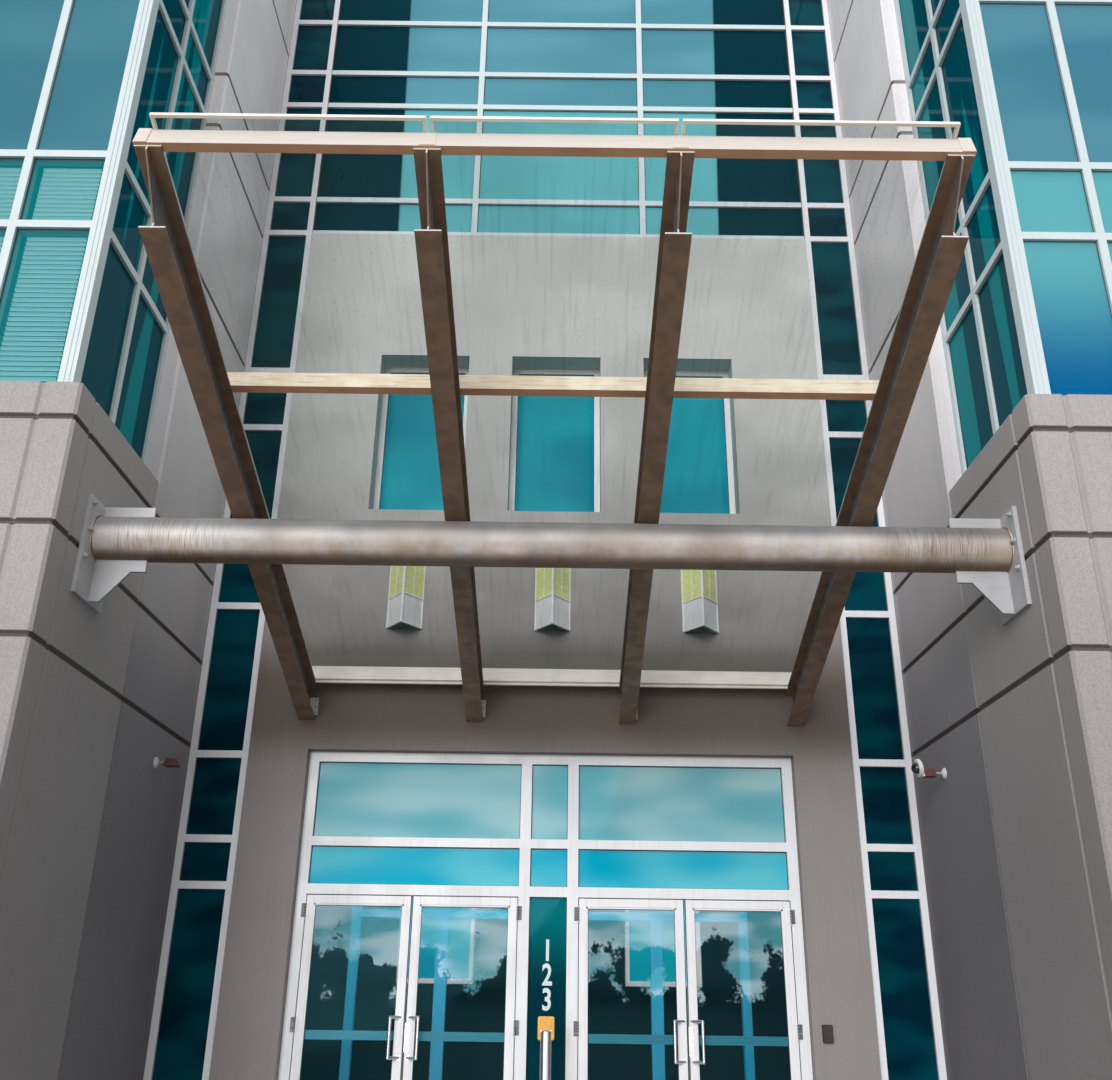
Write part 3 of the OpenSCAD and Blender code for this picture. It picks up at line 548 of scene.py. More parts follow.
# Copies of the white paint with brighter faces for the door, strip, storefront and window frames in the
# recess: painted light making up for the shade there
doorLook = {
    **whiteLook, "face": (0.92, 0.9, 0.93), "cloudTone": (0.86, 0.84, 0.88), "behind": 0.146,
    "behindTone": (0.02, 0.5, 0.75),
}
stripFrameLook = {**whiteLook, "face": (0.88, 0.88, 0.92), "cloudTone": (0.8, 0.81, 0.85)}
shopFrameLook = {**whiteLook, "face": (0.88, 0.88, 0.91), "cloudTone": (0.82, 0.83, 0.86)}
windowFrameLook = {**whiteLook, "face": (0.97, 0.98, 0.98), "cloudTone": (0.92, 0.94, 0.95)}
copingLook = {
    **whiteLook, "face": (0.44, 0.46, 0.47), "cloudTone": (0.38, 0.4, 0.41), "runDepth": 0.35,
    "runTone": (0.33, 0.33, 0.33),
}
# Inner screen: its cyan, darker underneath, is the tint and light of the door glass in front of it, painted
# on
innerLook = {
    **whiteLook, "face": (0.02, 0.43, 0.68), "cloudTone": (0.01, 0.34, 0.58), "runTone": (0.02, 0.3, 0.45),
    "under": (0.01, 0.2, 0.3),
}
creamLook = {
    "face": (0.7, 0.655, 0.62), "under": (0.62, 0.33, 0.18), "underTone": (0.5, 0.25, 0.125),
    "underDepth": 1.0, "grain": 0.005, "patch": 0.3, "cloudDepth": 0.4, "cloudTone": (0.66, 0.6, 0.54),
    "runX": 0.25, "runY": 0.012, "runZ": 0.012, "runDepth": 0.2, "runTone": (0.55, 0.42, 0.28),
    "downFrom": (-0.2, -0.7), "speckleDepth": 0.25, "speckleTone": (0.72, 0.62, 0.5),
    "roughness": (0.45, 0.65), "bump": 0.15,
}
purlinLook = {
    **creamLook, "face": (0.97, 0.9, 0.74), "cloudTone": (0.8, 0.66, 0.46), "patch": 0.16,
    "cloudDepth": 0.7, "runDepth": 0.45, "speckleDepth": 0.5,
}
glassFrameLook = {
    **creamLook, "face": (0.97, 0.94, 0.89), "under": (0.92, 0.85, 0.74), "underTone": (0.75, 0.62, 0.48),
}
# Rafter steel: rust brown underneath, and a painted highlight on the faces looking to the street
rafterLook = {
    "face": (0.15, 0.148, 0.15), "under": (0.25, 0.145, 0.085), "underTone": (0.1, 0.078, 0.06),
    "underDepth": 1.0, "grain": 0.007, "patch": 0.12, "cloudDepth": 0.8, "cloudTone": (0.1, 0.088, 0.08),
    "runX": 0.02, "runY": 0.35, "runZ": 0.12, "runDepth": 0.6, "runTone": (0.27, 0.125, 0.06),
    "speckleDepth": 0.5, "speckleTone": (0.55, 0.42, 0.34), "roughness": (0.42, 0.7), "bump": 0.4,
    "streetFaceHighlight": (0.74, 0.7, 0.64), "downFrom": (-0.35, -0.8),
}
# Pipe paint: the top shade tone darkens its upper faces as painted shade; the underside is brown
pipeLook = {
    "face": (0.74, 0.7, 0.675), "under": (0.17, 0.11, 0.07), "underTone": (0.23, 0.155, 0.105),
    "underDepth": 1.0, "grain": 0.008, "patch": 0.5, "cloudDepth": 0.7, "cloudTone": (0.45, 0.385, 0.325),
    "runX": 0.05, "runY": 0.3, "runZ": 0.3, "runDepth": 0.12, "runTone": (0.4, 0.37, 0.35),
    "speckleDepth": 0.25, "speckleTone": (0.7, 0.62, 0.55), "roughness": (0.42, 0.6), "bump": 0.2,
    "downFrom": (-0.6, -0.97), "topShadeTone": (0.4, 0.41, 0.43), "drips": (3.12, 2.6, 2.1), "dripTop": 4.84,
    "dripTone": (0.3, 0.25, 0.22), "patchTone": (0.6, 0.62, 0.67), "patchDepth": 0.55,
    "rustTone": (0.8, 0.6, 0.42),
}
# Grey bracket steel: the darker underside colour is painted shade
plateLook = {
    "face": (0.59, 0.59, 0.61), "under": (0.26, 0.25, 0.26), "underTone": (0.18, 0.17, 0.17),
    "underDepth": 0.6, "grain": 0.008, "patch": 0.3, "cloudDepth": 0.6, "cloudTone": (0.46, 0.46, 0.475),
    "runX": 0.2, "runY": 0.3, "runZ": 0.015, "runDepth": 0.35, "runTone": (0.42, 0.42, 0.44),
    "speckleDepth": 0.25, "speckleTone": (0.7, 0.66, 0.62), "roughness": (0.38, 0.55), "bump": 0.2,
}
hingeLook = {
    **plateLook, "face": (0.1, 0.1, 0.105), "under": (0.06, 0.06, 0.06), "cloudTone": (0.16, 0.16, 0.165),
    "roughness": (0.3, 0.5),
}
darkLook = {
    **whiteLook, "face": (0.02, 0.022, 0.022), "under": (0.012, 0.012, 0.012),
    "cloudTone": (0.035, 0.036, 0.036), "runTone": (0.05, 0.05, 0.05), "roughness": (0.55, 0.8),
}
readerLook = {
    **darkLook, "face": (0.02, 0.012, 0.009), "cloudTone": (0.032, 0.021, 0.016), "bump": 0.4,
    "Specular IOR Level": 0.06, "runDepth": 0.0, "grain": 0.0012,
}
cameraLook = {
    "base": (0.74, 0.73, 0.73), "arm": (0.4, 0.4, 0.41), "hood": (0.19, 0.05, 0.04),
    "below": (0.02, 0.012, 0.012), "ball": (0.006, 0.006, 0.007), "baseEnd": 3.222, "hoodFrom": 3.175,
    "ringPlace": (3.06, -0.77, 3.253), "ringAxis": (-0.985, 0.0, -0.174), "ringFade": 0.001,
    "ballPlace": (3.0245, -0.77, 3.2467), "ballRadius": 0.0458, "ballFade": 0.0004, "hoodFade": 0.002,
    "baseFade": 0.003, "hoodCloud": 0.4, "grain": (0.002, 0.04), "roughness": (0.3, 0.45),
    "ballSmoother": 0.24, "bump": (0.08, 0.0003),
}
sconceLook = {**whiteLook, "face": (0.96, 0.97, 0.98), "cloudTone": (0.9, 0.92, 0.94)}
limeLook = {
    **whiteLook, "face": (0.86, 0.92, 0.3), "cloudTone": (0.92, 0.96, 0.5), "under": (0.5, 0.55, 0.2),
    "patch": 0.12, "roughness": (0.2, 0.35),
}
caulkLook = {
    **darkLook, "face": (0.17, 0.085, 0.07), "cloudTone": (0.1, 0.055, 0.048), "under": (0.08, 0.05, 0.045),
}
rustLook = {**rafterLook, "face": (0.3, 0.12, 0.045), "cloudTone": (0.17, 0.065, 0.03), "patch": 0.05}
# Blind slats: a bright pale cyan, the glass tint and the light behind the glass painted on
slatLook = {
    **whiteLook, "face": (0.68, 0.97, 0.97), "cloudTone": (0.62, 0.94, 0.95), "under": (0.68, 0.97, 0.97),
    "underTone": (0.62, 0.94, 0.95), "runTone": (0.6, 0.9, 0.92),
}
# Glass: between the dark and pale colours run the painted sky reflections
coatedGlass = {
    "Alpha": 0.9, "IOR": 1.5, "Specular IOR Level": 0.4, "Specular Tint": (0.2, 0.8, 1.0),
    "dark": (0.055, 0.2, 0.265), "pale": (0.075, 0.24, 0.31), "low": (0.012, 0.085, 0.12),
    # The side colour is a painted reflection of the shaded recess walls on panes facing sideways
    "side": (0.002, 0.055, 0.075), "sideReflectionDepth": 1.0, "lowZ": 0.0, "highZ": 0.1, "cloud": 2.2,
}
# Box glass: the band tone on the side panes makes painted reflection bands
boxGlass = {
    **coatedGlass, "low": (0.0, 0.4, 0.45), "lowAlpha": 0.24, "lowZ": 7.43, "highZ": 7.47, "IOR": 1.3,
    "Specular IOR Level": 0.04, "side": (0.0, 0.09, 0.13), "bandTone": (0.0, 0.28, 0.32),
}
boxGlassRight = {
    **boxGlass, "low": (0.14, 0.5, 0.56), "dark": (0.06, 0.22, 0.31), "pale": (0.09, 0.27, 0.36),
    "foot": (0.0, 0.14, 0.36), "footZ": 5.4, "footTop": 6.75, "lowAlpha": 0.7,
}
# Strip glass: near black, a painted reflection of the dark recess walls
stripGlass = {
    **coatedGlass, "dark": (0.0, 0.016, 0.03), "pale": (0.0, 0.05, 0.07), "low": (0.0, 0.018, 0.03),
    "Specular IOR Level": 0.25, "cloud": 0.9, "Alpha": 0.96,
}
wallWindowGlass = {
    **coatedGlass, "dark": (0.0, 0.35, 0.48), "pale": (0.01, 0.5, 0.62), "cloud": 2.4, "Alpha": 0.56,
    "Specular IOR Level": 0.06, "rearFrom": 2.0,
}
# Curtain glass: the wing colour is a painted reflection of the side wings
curtainGlass = {
    **coatedGlass, "low": (0.17, 0.59, 0.65), "lowZ": 11.0, "highZ": 11.06, "dark": (0.1, 0.33, 0.42),
    "pale": (0.14, 0.4, 0.5), "wingFrom": 1.54, "wingLean": -0.023, "wing": (0.0, 0.03, 0.045),
    "Alpha": 0.72, "Specular IOR Level": 0.06,
}
# Storefront glass: painted cloud reflections in the transom, and a dark foot in the side light that is
# painted shade of the room behind
shopGlass = {
    **coatedGlass, "Alpha": 0.95, "dark": (0.15, 0.45, 0.52), "pale": (0.38, 0.62, 0.65),
    "low": (0.0, 0.4, 0.6), "lowPale": (0.12, 0.56, 0.66), "lowZ": 2.65, "highZ": 2.67,
    "foot": (0.0, 0.03, 0.045), "footMiddle": (0.0, 0.17, 0.19), "middleZ": (1.5, 2.2), "footZ": 2.28,
    "footTop": 2.32, "Specular IOR Level": 0.1, "cloud": 1.2,
}
# Door glass: the near-black part below the ragged edge is a painted reflection of a tree line
doorGlass = {
    **coatedGlass, "Alpha": 0.46, "lowAlpha": 0.27, "dark": (0.1, 0.38, 0.44), "pale": (0.5, 0.68, 0.74),
    "low": (0.0, 0.008, 0.01), "lowZ": 1.74, "highZ": 1.84, "Specular IOR Level": 0.12, "cloud": 0.5,
    "sideReflectionDepth": 0.0, "ragged": 0.55, "clump": 0.34, "leaf": 0.03,
}
canopyLook = {
    "film": (0.05, 0.125, 0.105), "filmTone": (0.03, 0.1, 0.085), "filmDepth": 0.5, "grain": (0.016, 0.8),
    "cover": (0.12, 0.2), "drips": (0.03, 0.7, 0.7, 0.55, 0.72), "dripCover": 0.04, "speckFrom": 0.985,
    "speckDepth": 0.8, "speckCover": 0.3, "speckTone": (0.6, 0.48, 0.36), "band": (-0.5, -0.25),
    "bandDepth": 0.6, "bandTone": (0.3, 0.35, 0.28), "bandCover": 0.12, "IOR": 1.5,
    "Specular IOR Level": 0.2, "roughness": (0.08, 0.2),
}
steelLook = {
    "dark": (0.62, 0.62, 0.63), "pale": (0.8, 0.8, 0.81), "smudge": (0.6, 0.58, 0.56), "behind": 0.128,
    "behindTone": (0.04, 0.56, 0.78), "lines": (0.2, 0.2, 0.003), "roughness": (0.22, 0.4),
}
openerLook = {
    "lines": (0.003, 0.003, 0.3), "grain": (0.003, 0.08), "axisY": -0.26, "radius": 0.0442,
    "radiusFade": 0.0004, "plateFoot": 1.099, "footFade": 0.001, "postTop": 1.2222,
    "roughness": (0.24, 0.36), "plateRougher": 0.12, "bump": (0.1, 0.0003), "dark": (0.62, 0.62, 0.63),
    "pale": (0.8, 0.8, 0.81), "paint": (0.82, 0.43, 0.045), "wornPaint": (0.68, 0.33, 0.035),
}


finishes = {
    "concrete": makeMasonry("pouredConcrete", concreteLook),
    "stucco": makeMasonry("recessStucco", stuccoLook),
    "wallStucco": makeMasonry("entranceStucco", wallLook),
    "sideStucco": makeMasonry("outerStucco", sideWallLook),
    "rearStucco": makeMasonry("rearStucco", rearWallLook),
    "stone_panel": makeMasonry("pierStone", stoneLook),
    "white_frame": makePaint("whiteFrame", whiteLook),
    "stripFrame": makePaint("stripFrame", stripFrameLook),
    "innerFrame": makePaint("innerFrame", innerLook),
    "shopFrame": makePaint("storefrontFrame", shopFrameLook),
    "copingMetal": makePaint("copingMetal", copingLook),
    "windowFrame": makePaint("windowFrame", windowFrameLook),
    "caulk": makePaint("redBrownSealant", caulkLook),
    "door_frame": makePaint("doorFrame", doorLook),
    "boxGlass": makeGlass("cornerBoxGlass", boxGlass),
    "boxGlassRight": makeGlass("cornerBoxGlassRight", boxGlassRight),
    "stripGlass": makeGlass("stripGlass", stripGlass),
    "windowGlass": makeGlass("wallWindowGlass", wallWindowGlass),
    "curtainGlass": makeGlass("curtainGlass", curtainGlass),
    "shopGlass": makeGlass("transomGlass", shopGlass),
    "doorGlass": makeGlass("doorGlass", doorGlass),
    "stainless": makeBrushed("brushedStainless", steelLook),
    "post_steel": makeOpener("openerFinish", openerLook),
    "pipe": makePaint("pipePaint", pipeLook),
    "grey_steel": makePaint("bracketSteel", plateLook),
    "weathered_steel": makePaint("weatheredSteel", rafterLook),
    "rust": makePaint("rustSpots", rustLook),
    "cream_metal": makePaint("creamMetal", creamLook),
    "purlinCream": makePaint("purlinCream", purlinLook),
    "glassFrame": makePaint("glassFrameMetal", glassFrameLook),
    "clear_glass": makeCanopyGlass("canopyGlass", canopyLook),
    "light_panel": makePaint("lampShell", sconceLook),
    "lampPane": makePaint("lampPane", limeLook),
    "camera_housing": makeCameraFinish("cameraFinish", cameraLook),
    "reader_case": makePaint("readerCase", readerLook),
    "hinge": makePaint("hingeSteel", hingeLook),
    "gasket": makePaint("blackRubber", darkLook),
    "slat": makePaint("blindSlats", slatLook),
}
slotOf = {part["node"]: part["material_slot"] for part in frame["record"]["subparts"]}
ownFinish = {
    "entrance_wall_left": "wallStucco", "entrance_wall_right": "wallStucco",
    "entrance_wall_over": "wallStucco", "party_wall_left": "sideStucco", "party_wall_right": "sideStucco",
    "rear_wall": "rearStucco", "parapet": "sideStucco", "glass_box_panes_left": "boxGlass",
    "glass_box_panes_right": "boxGlassRight", "glazing_strip_panes": "stripGlass",
    "window_panes": "windowGlass", "curtain_wall_panes": "curtainGlass", "storefront_panes": "shopGlass",
    "glazing_strip_frames": "stripFrame", "inner_screen": "innerFrame", "coping": "copingMetal",
    "storefront_frame": "shopFrame", "window_frames": "windowFrame", "pipe_beam": "pipe",
    "middle_purlin": "purlinCream", "rear_purlin": "glassFrame", "canopy_glass_frames": "glassFrame",
}
fourNumbers = (1, 2, 3, 4)
for number in fourNumbers:
    ownFinish[f"door_glass_{number}"] = "doorGlass"
for nodeName, node in nodes.items():
    node.data.materials.clear()
    node.data.materials.append(finishes[ownFinish.get(nodeName, slotOf[nodeName])])
print("materials made:", len(finishes))


def corners(nodeName):
    low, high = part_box(nodeName)
    return Vector(low), Vector(high)


mergeDistance = 0.00001
sharpAngle = math.radians(32.0)


# The box of each separate solid in a CAD node, found on a merged copy of its mesh
def solidBoxes(nodeName):
    shape = bmesh.new()
    shape.from_mesh(nodes[nodeName].data)
    bmesh.ops.remove_doubles(shape, verts=shape.verts, dist=mergeDistance)
    left = dict.fromkeys(shape.verts)
    found = []
    while left:
        stack = [left.popitem()[0]]
        points = []
        while stack:
            vert = stack.pop()
            points.append(vert.co.copy())
            for edge in vert.link_edges:
                other = edge.other_vert(vert)
                if other in left:
                    del left[other]
                    stack.append(other)
        low = Vector([min(point[axis] for point in points) for axis in range(3)])
        high = Vector([max(point[axis] for point in points) for axis in range(3)])
        found.append((low, high))
    shape.free()
    found.sort(key=lambda pair: tuple(round(value, 4) for value in (*pair[0], *pair[1])))
    return found


def block(shape, low, high, bevel=0.0, placing=None):
    low, high = Vector(low), Vector(high)
    size = high - low
    sized = Matrix.Translation((low + high) / 2) @ Matrix.Diagonal((*size, 1.0))
    if placing is not None:
        sized = placing @ sized
    made = bmesh.ops.create_cube(shape, size=1.0, matrix=sized)["verts"]
    if bevel > 0.0:
        edges = list(dict.fromkeys(edge for vert in made for edge in vert.link_edges))
        bmesh.ops.bevel(shape, geom=edges, offset=bevel, segments=1, affect="EDGES")


# A turned form: pairs of distance along the axis and radius
def turned(shape, profile, base, direction, sides):
    placing = Matrix.Translation(base) @ Vector(direction).to_track_quat("Z", "Y").to_matrix().to_4x4()
    rings = []
    for along, radius in profile:
        angles = [math.tau * step / sides for step in range(sides)] if radius > 0.0 else [0.0]
        rings.append([
            shape.verts.new(placing @ Vector((radius * math.cos(angle), radius * math.sin(angle), along)))
            for angle in angles])
    for first, second in zip(rings, rings[1:]):
        for step in range(sides):
            quad = (first[step % len(first)], first[(step + 1) % len(first)],
                    second[(step + 1) % len(second)], second[step % len(second)])
            cornersLeft = list(dict.fromkeys(quad))
            if len(cornersLeft) > 2:
                shape.faces.new(cornersLeft)
    for ring in (rings[0], rings[-1]):
        if len(ring) > 1:
            shape.faces.new(ring)


def finishPiece(name, shape, finish, body="building"):
    bmesh.ops.recalc_face_normals(shape, faces=shape.faces)
    mesh = bpy.data.meshes.new(name)
    shape.to_mesh(mesh)
    shape.free()
    for face in mesh.polygons:
        face.use_smooth = True
    mesh.set_sharp_from_angle(angle=sharpAngle)
    mesh.materials.append(finishes[finish])
    piece = bpy.data.objects.new(name, mesh)
    bpy.context.collection.objects.link(piece)
    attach(piece, body)
    return piece


# Geometry Nodes: a tree with named inputs, grown on a mesh of points and turned into a plain mesh
def startTree(name, inputs):
    tree = bpy.data.node_groups.new(name, "GeometryNodeTree")
    tree.interface.new_socket("Geometry", in_out="INPUT", socket_type="NodeSocketGeometry")
    for label, (kind, value) in inputs.items():
        socket = tree.interface.new_socket(label, in_out="INPUT", socket_type="NodeSocket" + kind)
        if value is not None:
            socket.default_value = value
    tree.interface.new_socket("Geometry", in_out="OUTPUT", socket_type="NodeSocketGeometry")
    return tree, tree.nodes.new("NodeGroupInput").outputs, tree.nodes.new("NodeGroupOutput").inputs


def turnOf(tree, vector):
    turn = tree.nodes.new("FunctionNodeEulerToRotation")
    plug(tree, turn.inputs[0], vector)
    return turn.outputs[0]


def instanceOn(tree, points, instance, turn):
    placed = tree.nodes.new("GeometryNodeInstanceOnPoints")
    plug(tree, placed.inputs["Points"], points)
    plug(tree, placed.inputs["Instance"], instance)
    plug(tree, placed.inputs["Rotation"], turn)
    real = tree.nodes.new("GeometryNodeRealizeInstances")
    plug(tree, real.inputs["Geometry"], placed.outputs["Instances"])
    return real.outputs["Geometry"]


def endTree(tree, geometry, given, result):
    paint = tree.nodes.new("GeometryNodeSetMaterial")
    plug(tree, paint.inputs["Geometry"], geometry)
    plug(tree, paint.inputs["Material"], given["Material"])
    plug(tree, result["Geometry"], paint.outputs["Geometry"])
    return tree


# One stack of crowned slats on each point of the mesh
def makeSlatTree():
    tree, given, result = startTree("slatStack", {
        "Width": ("Float", 0.5), "Depth": ("Float", 0.025), "Thickness": ("Float", 0.0012),
        "Crown": ("Float", 0.003), "Tilt": ("Float", 0.6), "Pitch": ("Float", 0.03), "Count": ("Int", 10),
        "Turn": ("Float", 0.0), "Material": ("Material", None)})
    slat = tree.nodes.new("GeometryNodeMeshCube")
    slat.inputs["Vertices Y"].default_value = 4
    plug(tree, slat.inputs["Size"], vectorOf(tree, given["Width"], given["Depth"], given["Thickness"]))
    place = splitUp(tree, tree.nodes.new("GeometryNodeInputPosition").outputs[0])
    across = maths(tree, "DIVIDE", place["Y"], given["Depth"])
    drop = times(tree, times(tree, across, across), given["Crown"])
    crowned = tree.nodes.new("GeometryNodeSetPosition")
    plug(tree, crowned.inputs["Geometry"], slat.outputs["Mesh"])
    plug(tree, crowned.inputs["Offset"], vectorOf(tree, 0.0, 0.0, times(tree, drop, -4.0)))
    line = tree.nodes.new("GeometryNodeMeshLine")
    plug(tree, line.inputs["Count"], given["Count"])
    plug(tree, line.inputs["Offset"], vectorOf(tree, 0.0, 0.0, given["Pitch"]))
    tilt = turnOf(tree, vectorOf(tree, given["Tilt"], 0.0, 0.0))
    stack = instanceOn(tree, line.outputs["Mesh"], crowned.outputs["Geometry"], tilt)
    turn = turnOf(tree, vectorOf(tree, 0.0, 0.0, given["Turn"]))
    placed = instanceOn(tree, given["Geometry"], stack, turn)
    return endTree(tree, placed, given, result)


# A hexagon head on a washer with the end of its shank, on each point of the mesh
def makeBoltTree():
    tree, given, result = startTree("hexBolt", {
        "Head Radius": ("Float", 0.015), "Head Height": ("Float", 0.01), "Washer Radius": ("Float", 0.02),
        "Washer Height": ("Float", 0.003), "Shank Radius": ("Float", 0.008), "Shank Length": ("Float", 0.02),
        "Lean": ("Vector", (0.0, 0.0, 0.0)), "Material": ("Material", None)})
    join = tree.nodes.new("GeometryNodeJoinGeometry")
    parts = (("Shank Radius", "Shank Length", 10), ("Head Radius", "Head Height", 6),
             ("Washer Radius", "Washer Height", 18))
    for radius, height, sides in parts:
        turnedPart = tree.nodes.new("GeometryNodeMeshCylinder")
        turnedPart.inputs["Vertices"].default_value = sides
        plug(tree, turnedPart.inputs["Radius"], given[radius])
        plug(tree, turnedPart.inputs["Depth"], given[height])
        raised = tree.nodes.new("GeometryNodeTransform")
        plug(tree, raised.inputs["Geometry"], turnedPart.outputs["Mesh"])
        lift = times(tree, given[height], 0.5)
        if radius == "Head Radius":
            lift = maths(tree, "ADD", lift, given["Washer Height"])
        plug(tree, raised.inputs["Translation"], vectorOf(tree, 0.0, 0.0, lift))
        plug(tree, join.inputs["Geometry"], raised.outputs["Geometry"])
    placed = instanceOn(tree, given["Geometry"], join.outputs["Geometry"], turnOf(tree, given["Lean"]))
    return endTree(tree, placed, given, result)


slatTree = makeSlatTree()
boltTree = makeBoltTree()


def grow(tree, places, finish, values):
    seed = bpy.data.meshes.new("places")
    seed.from_pydata([tuple(place) for place in places], [], [])
    holder = bpy.data.objects.new("places", seed)
    bpy.context.collection.objects.link(holder)
    modifier = holder.modifiers.new("grown", "NODES")
    modifier.node_group = tree
    known = {item.name: item.identifier for item in tree.interface.items_tree if item.in_out == "INPUT"}
    for label, value in values.items():
        modifier[known[label]] = value
    modifier[known["Material"]] = finishes[finish]
    graph = bpy.context.evaluated_depsgraph_get()
    grown = bpy.data.meshes.new_from_object(holder.evaluated_get(graph))
    bpy.data.objects.remove(holder)
    bpy.data.meshes.remove(seed)
    return grown


def finishGrown(name, grownMeshes, finish, body="building"):
    shape = bmesh.new()
    for grown in grownMeshes:
        shape.from_mesh(grown)
        bpy.data.meshes.remove(grown)
    return finishPiece(name, shape, finish, body)


def makeCamera():
    data = bpy.data.cameras.new("streetCamera")
    data.lens = cameraView["lens"]
    data.sensor_width = cameraView["sensor"]
    data.sensor_fit = "HORIZONTAL"
    data.clip_end = cameraView["farEnd"]
    cam = bpy.data.objects.new("streetCamera", data)
    bpy.context.collection.objects.link(cam)
    turn = (
        Matrix.Rotation(-math.radians(cameraView["yaw"]), 4, "Z")
        @ Matrix.Rotation(math.radians(90.0 + cameraView["pitch"]), 4, "X")
        @ Matrix.Rotation(math.radians(cameraView["roll"]), 4, "Z")
    )
    cam.matrix_world = Matrix.Translation(cameraView["place"]) @ turn
    bpy.context.scene.camera = cam


# Light comes mostly from above; the camera, metal and glass see a plain pale background
def makeStudio():
    world = bpy.data.worlds.new("paleStudio")
    bpy.context.scene.world = world
    world.use_nodes = True
    tree = world.node_tree
    tree.nodes.clear()
    height = splitUp(tree, coordinates(tree, "Generated"))["Z"]
    light = tree.nodes.new("ShaderNodeBackground")
    glow = remap(tree, height, *studio["horizonTo"], studio["horizon"], studio["zenith"])
    plug(tree, light.inputs["Strength"], glow)
    mirrored = tree.nodes.new("ShaderNodeBackground")
    plug(tree, mirrored.inputs["Color"], studio["skySeenInGlass"])
    seen = tree.nodes.new("ShaderNodeBackground")
    path = tree.nodes.new("ShaderNodeLightPath")
    throughGlass = maths(tree, "MAXIMUM", path.outputs["Is Glossy Ray"], path.outputs["Is Transmission Ray"])
    firstMix = tree.nodes.new("ShaderNodeMixShader")
    plug(tree, firstMix.inputs["Fac"], throughGlass)
    tree.links.new(light.outputs[0], firstMix.inputs[1])
    tree.links.new(mirrored.outputs[0], firstMix.inputs[2])
    lastMix = tree.nodes.new("ShaderNodeMixShader")
    plug(tree, lastMix.inputs["Fac"], path.outputs["Is Camera Ray"])
    tree.links.new(firstMix.outputs[0], lastMix.inputs[1])
    tree.links.new(seen.outputs[0], lastMix.inputs[2])
    out = tree.nodes.new("ShaderNodeOutputWorld")
    tree.links.new(lastMix.outputs[0], out.inputs["Surface"])
    for name in ("key", "back"):
        sun = bpy.data.lights.new(name + "Light", "SUN")
        sun.energy = studio[name + "Strength"]
        sun.angle = math.radians(studio["keyAngle"])
        holder = bpy.data.objects.new(name + "Light", sun)
        holder.rotation_euler = [math.radians(turn) for turn in studio[name + "Turn"]]
        bpy.context.collection.objects.link(holder)
    lamp = bpy.data.lights.new("lobbyLight", "AREA")
    lamp.shape = "RECTANGLE"
    lamp.size, lamp.size_y = studio["lobbySize"]
    lamp.energy = studio["lobbyWatts"]
    lobby = bpy.data.objects.new("lobbyLight", lamp)
    lobby.location = studio["lobbyPlace"]
    lobby.rotation_euler = (math.radians(studio["lobbyTilt"]), 0.0, 0.0)
    lobby.visible_camera = False
    lobby.visible_glossy = False
    bpy.context.collection.objects.link(lobby)
    bpy.context.scene.view_settings.view_transform = "Standard"


def makeFloor():
    half = studio["floorHalf"]
    mesh = bpy.data.meshes.new("studioFloor")
    outline = [(-half, -half, 0), (half, -half, 0), (half, half, 0), (-half, half, 0)]
    mesh.from_pydata(outline, [], [(0, 1, 2, 3)])
    floor = bpy.data.objects.new("studioFloor", mesh)
    bpy.context.collection.objects.link(floor)
    material, tree, shader = startMaterial("paleFloor", {})
    plug(tree, shader.inputs["Roughness"], studio["floorRoughness"])
    path = tree.nodes.new("ShaderNodeLightPath")
    seen = maths(tree, "MAXIMUM", path.outputs["Is Camera Ray"], path.outputs["Is Glossy Ray"])
    seen = maths(tree, "MAXIMUM", seen, path.outputs["Is Transmission Ray"])
    colour = blendColours(tree, seen, studio["floorLight"], studio["floorSeen"])
    plug(tree, shader.inputs["Base Color"], colour)
    mesh.materials.append(material)


makeCamera()
makeStudio()
makeFloor()
print("camera and studio ready")

# Canopy frame: X across, then up the slope from the wall, then square to the slope
canopy = {"slope": math.radians(17.95), "rafterHeight": 0.282, "purlinHeight": 0.135, "fasciaSlope": 5.508}
rise, run = math.sin(canopy["slope"]), math.cos(canopy["slope"])
rafterFoot = corners("rafter_2")[0].z
slopeFrame = Matrix((
    (1.0, 0.0, 0.0, 0.0), (0.0, -run, rise, 0.0), (0.0, rise, run, rafterFoot), (0.0, 0.0, 0.0, 1.0)))
rafterMiddles = [sum(corner.x for corner in corners(f"rafter_{number}")) / 2 for number in fourNumbers]


rearWallFrom = 2.0


# The thin axis of a pane, and which way along it is outdoors
def paneFacing(low, high):
    if high.y - low.y < high.x - low.x:
        return 1, 1 if low.y > rearWallFrom else -1
    return 0, 1 if low.x < 0 else -1


# Dark rubber round each pane, in the corner between pane and bar
gaskets = {"width": 0.006, "depth": 0.004}


def paneRim(shape, low, high, thinAxis, outward, width, depth):
    flat = [axis for axis in (0, 1, 2) if axis != thinAxis]
    face = low[thinAxis] if outward < 0 else high[thinAxis]
    for axis in flat:
        other = flat[1] if axis == flat[0] else flat[0]
        for edge in (low[other], high[other] - width):
            start, end = low.copy(), high.copy()
            start[other], end[other] = edge, edge + width
            start[thinAxis], end[thinAxis] = sorted((face, face + outward * depth))
            block(shape, start, end)


def makeGaskets():
    shape = bmesh.new()
    for nodeName in ("storefront_panes", "glazing_strip_panes", "curtain_wall_panes", "window_panes",
                     "glass_box_panes_left", "glass_box_panes_right"):
        for low, high in solidBoxes(nodeName):
            thinAxis, outward = paneFacing(low, high)
            paneRim(shape, low, high, thinAxis, outward, gaskets["width"], gaskets["depth"])
    finishPiece("paneGaskets", shape, "gasket")


makeGaskets()

# Raised ridges down the corner posts of the glass boxes
ridges = {
    "postWidth": 0.112, "steps": (0.3, 0.62), "width": 0.009, "proud": 0.006, "sunk": 0.001,
    "endGap": 0.004, "bevel": 0.002,
}


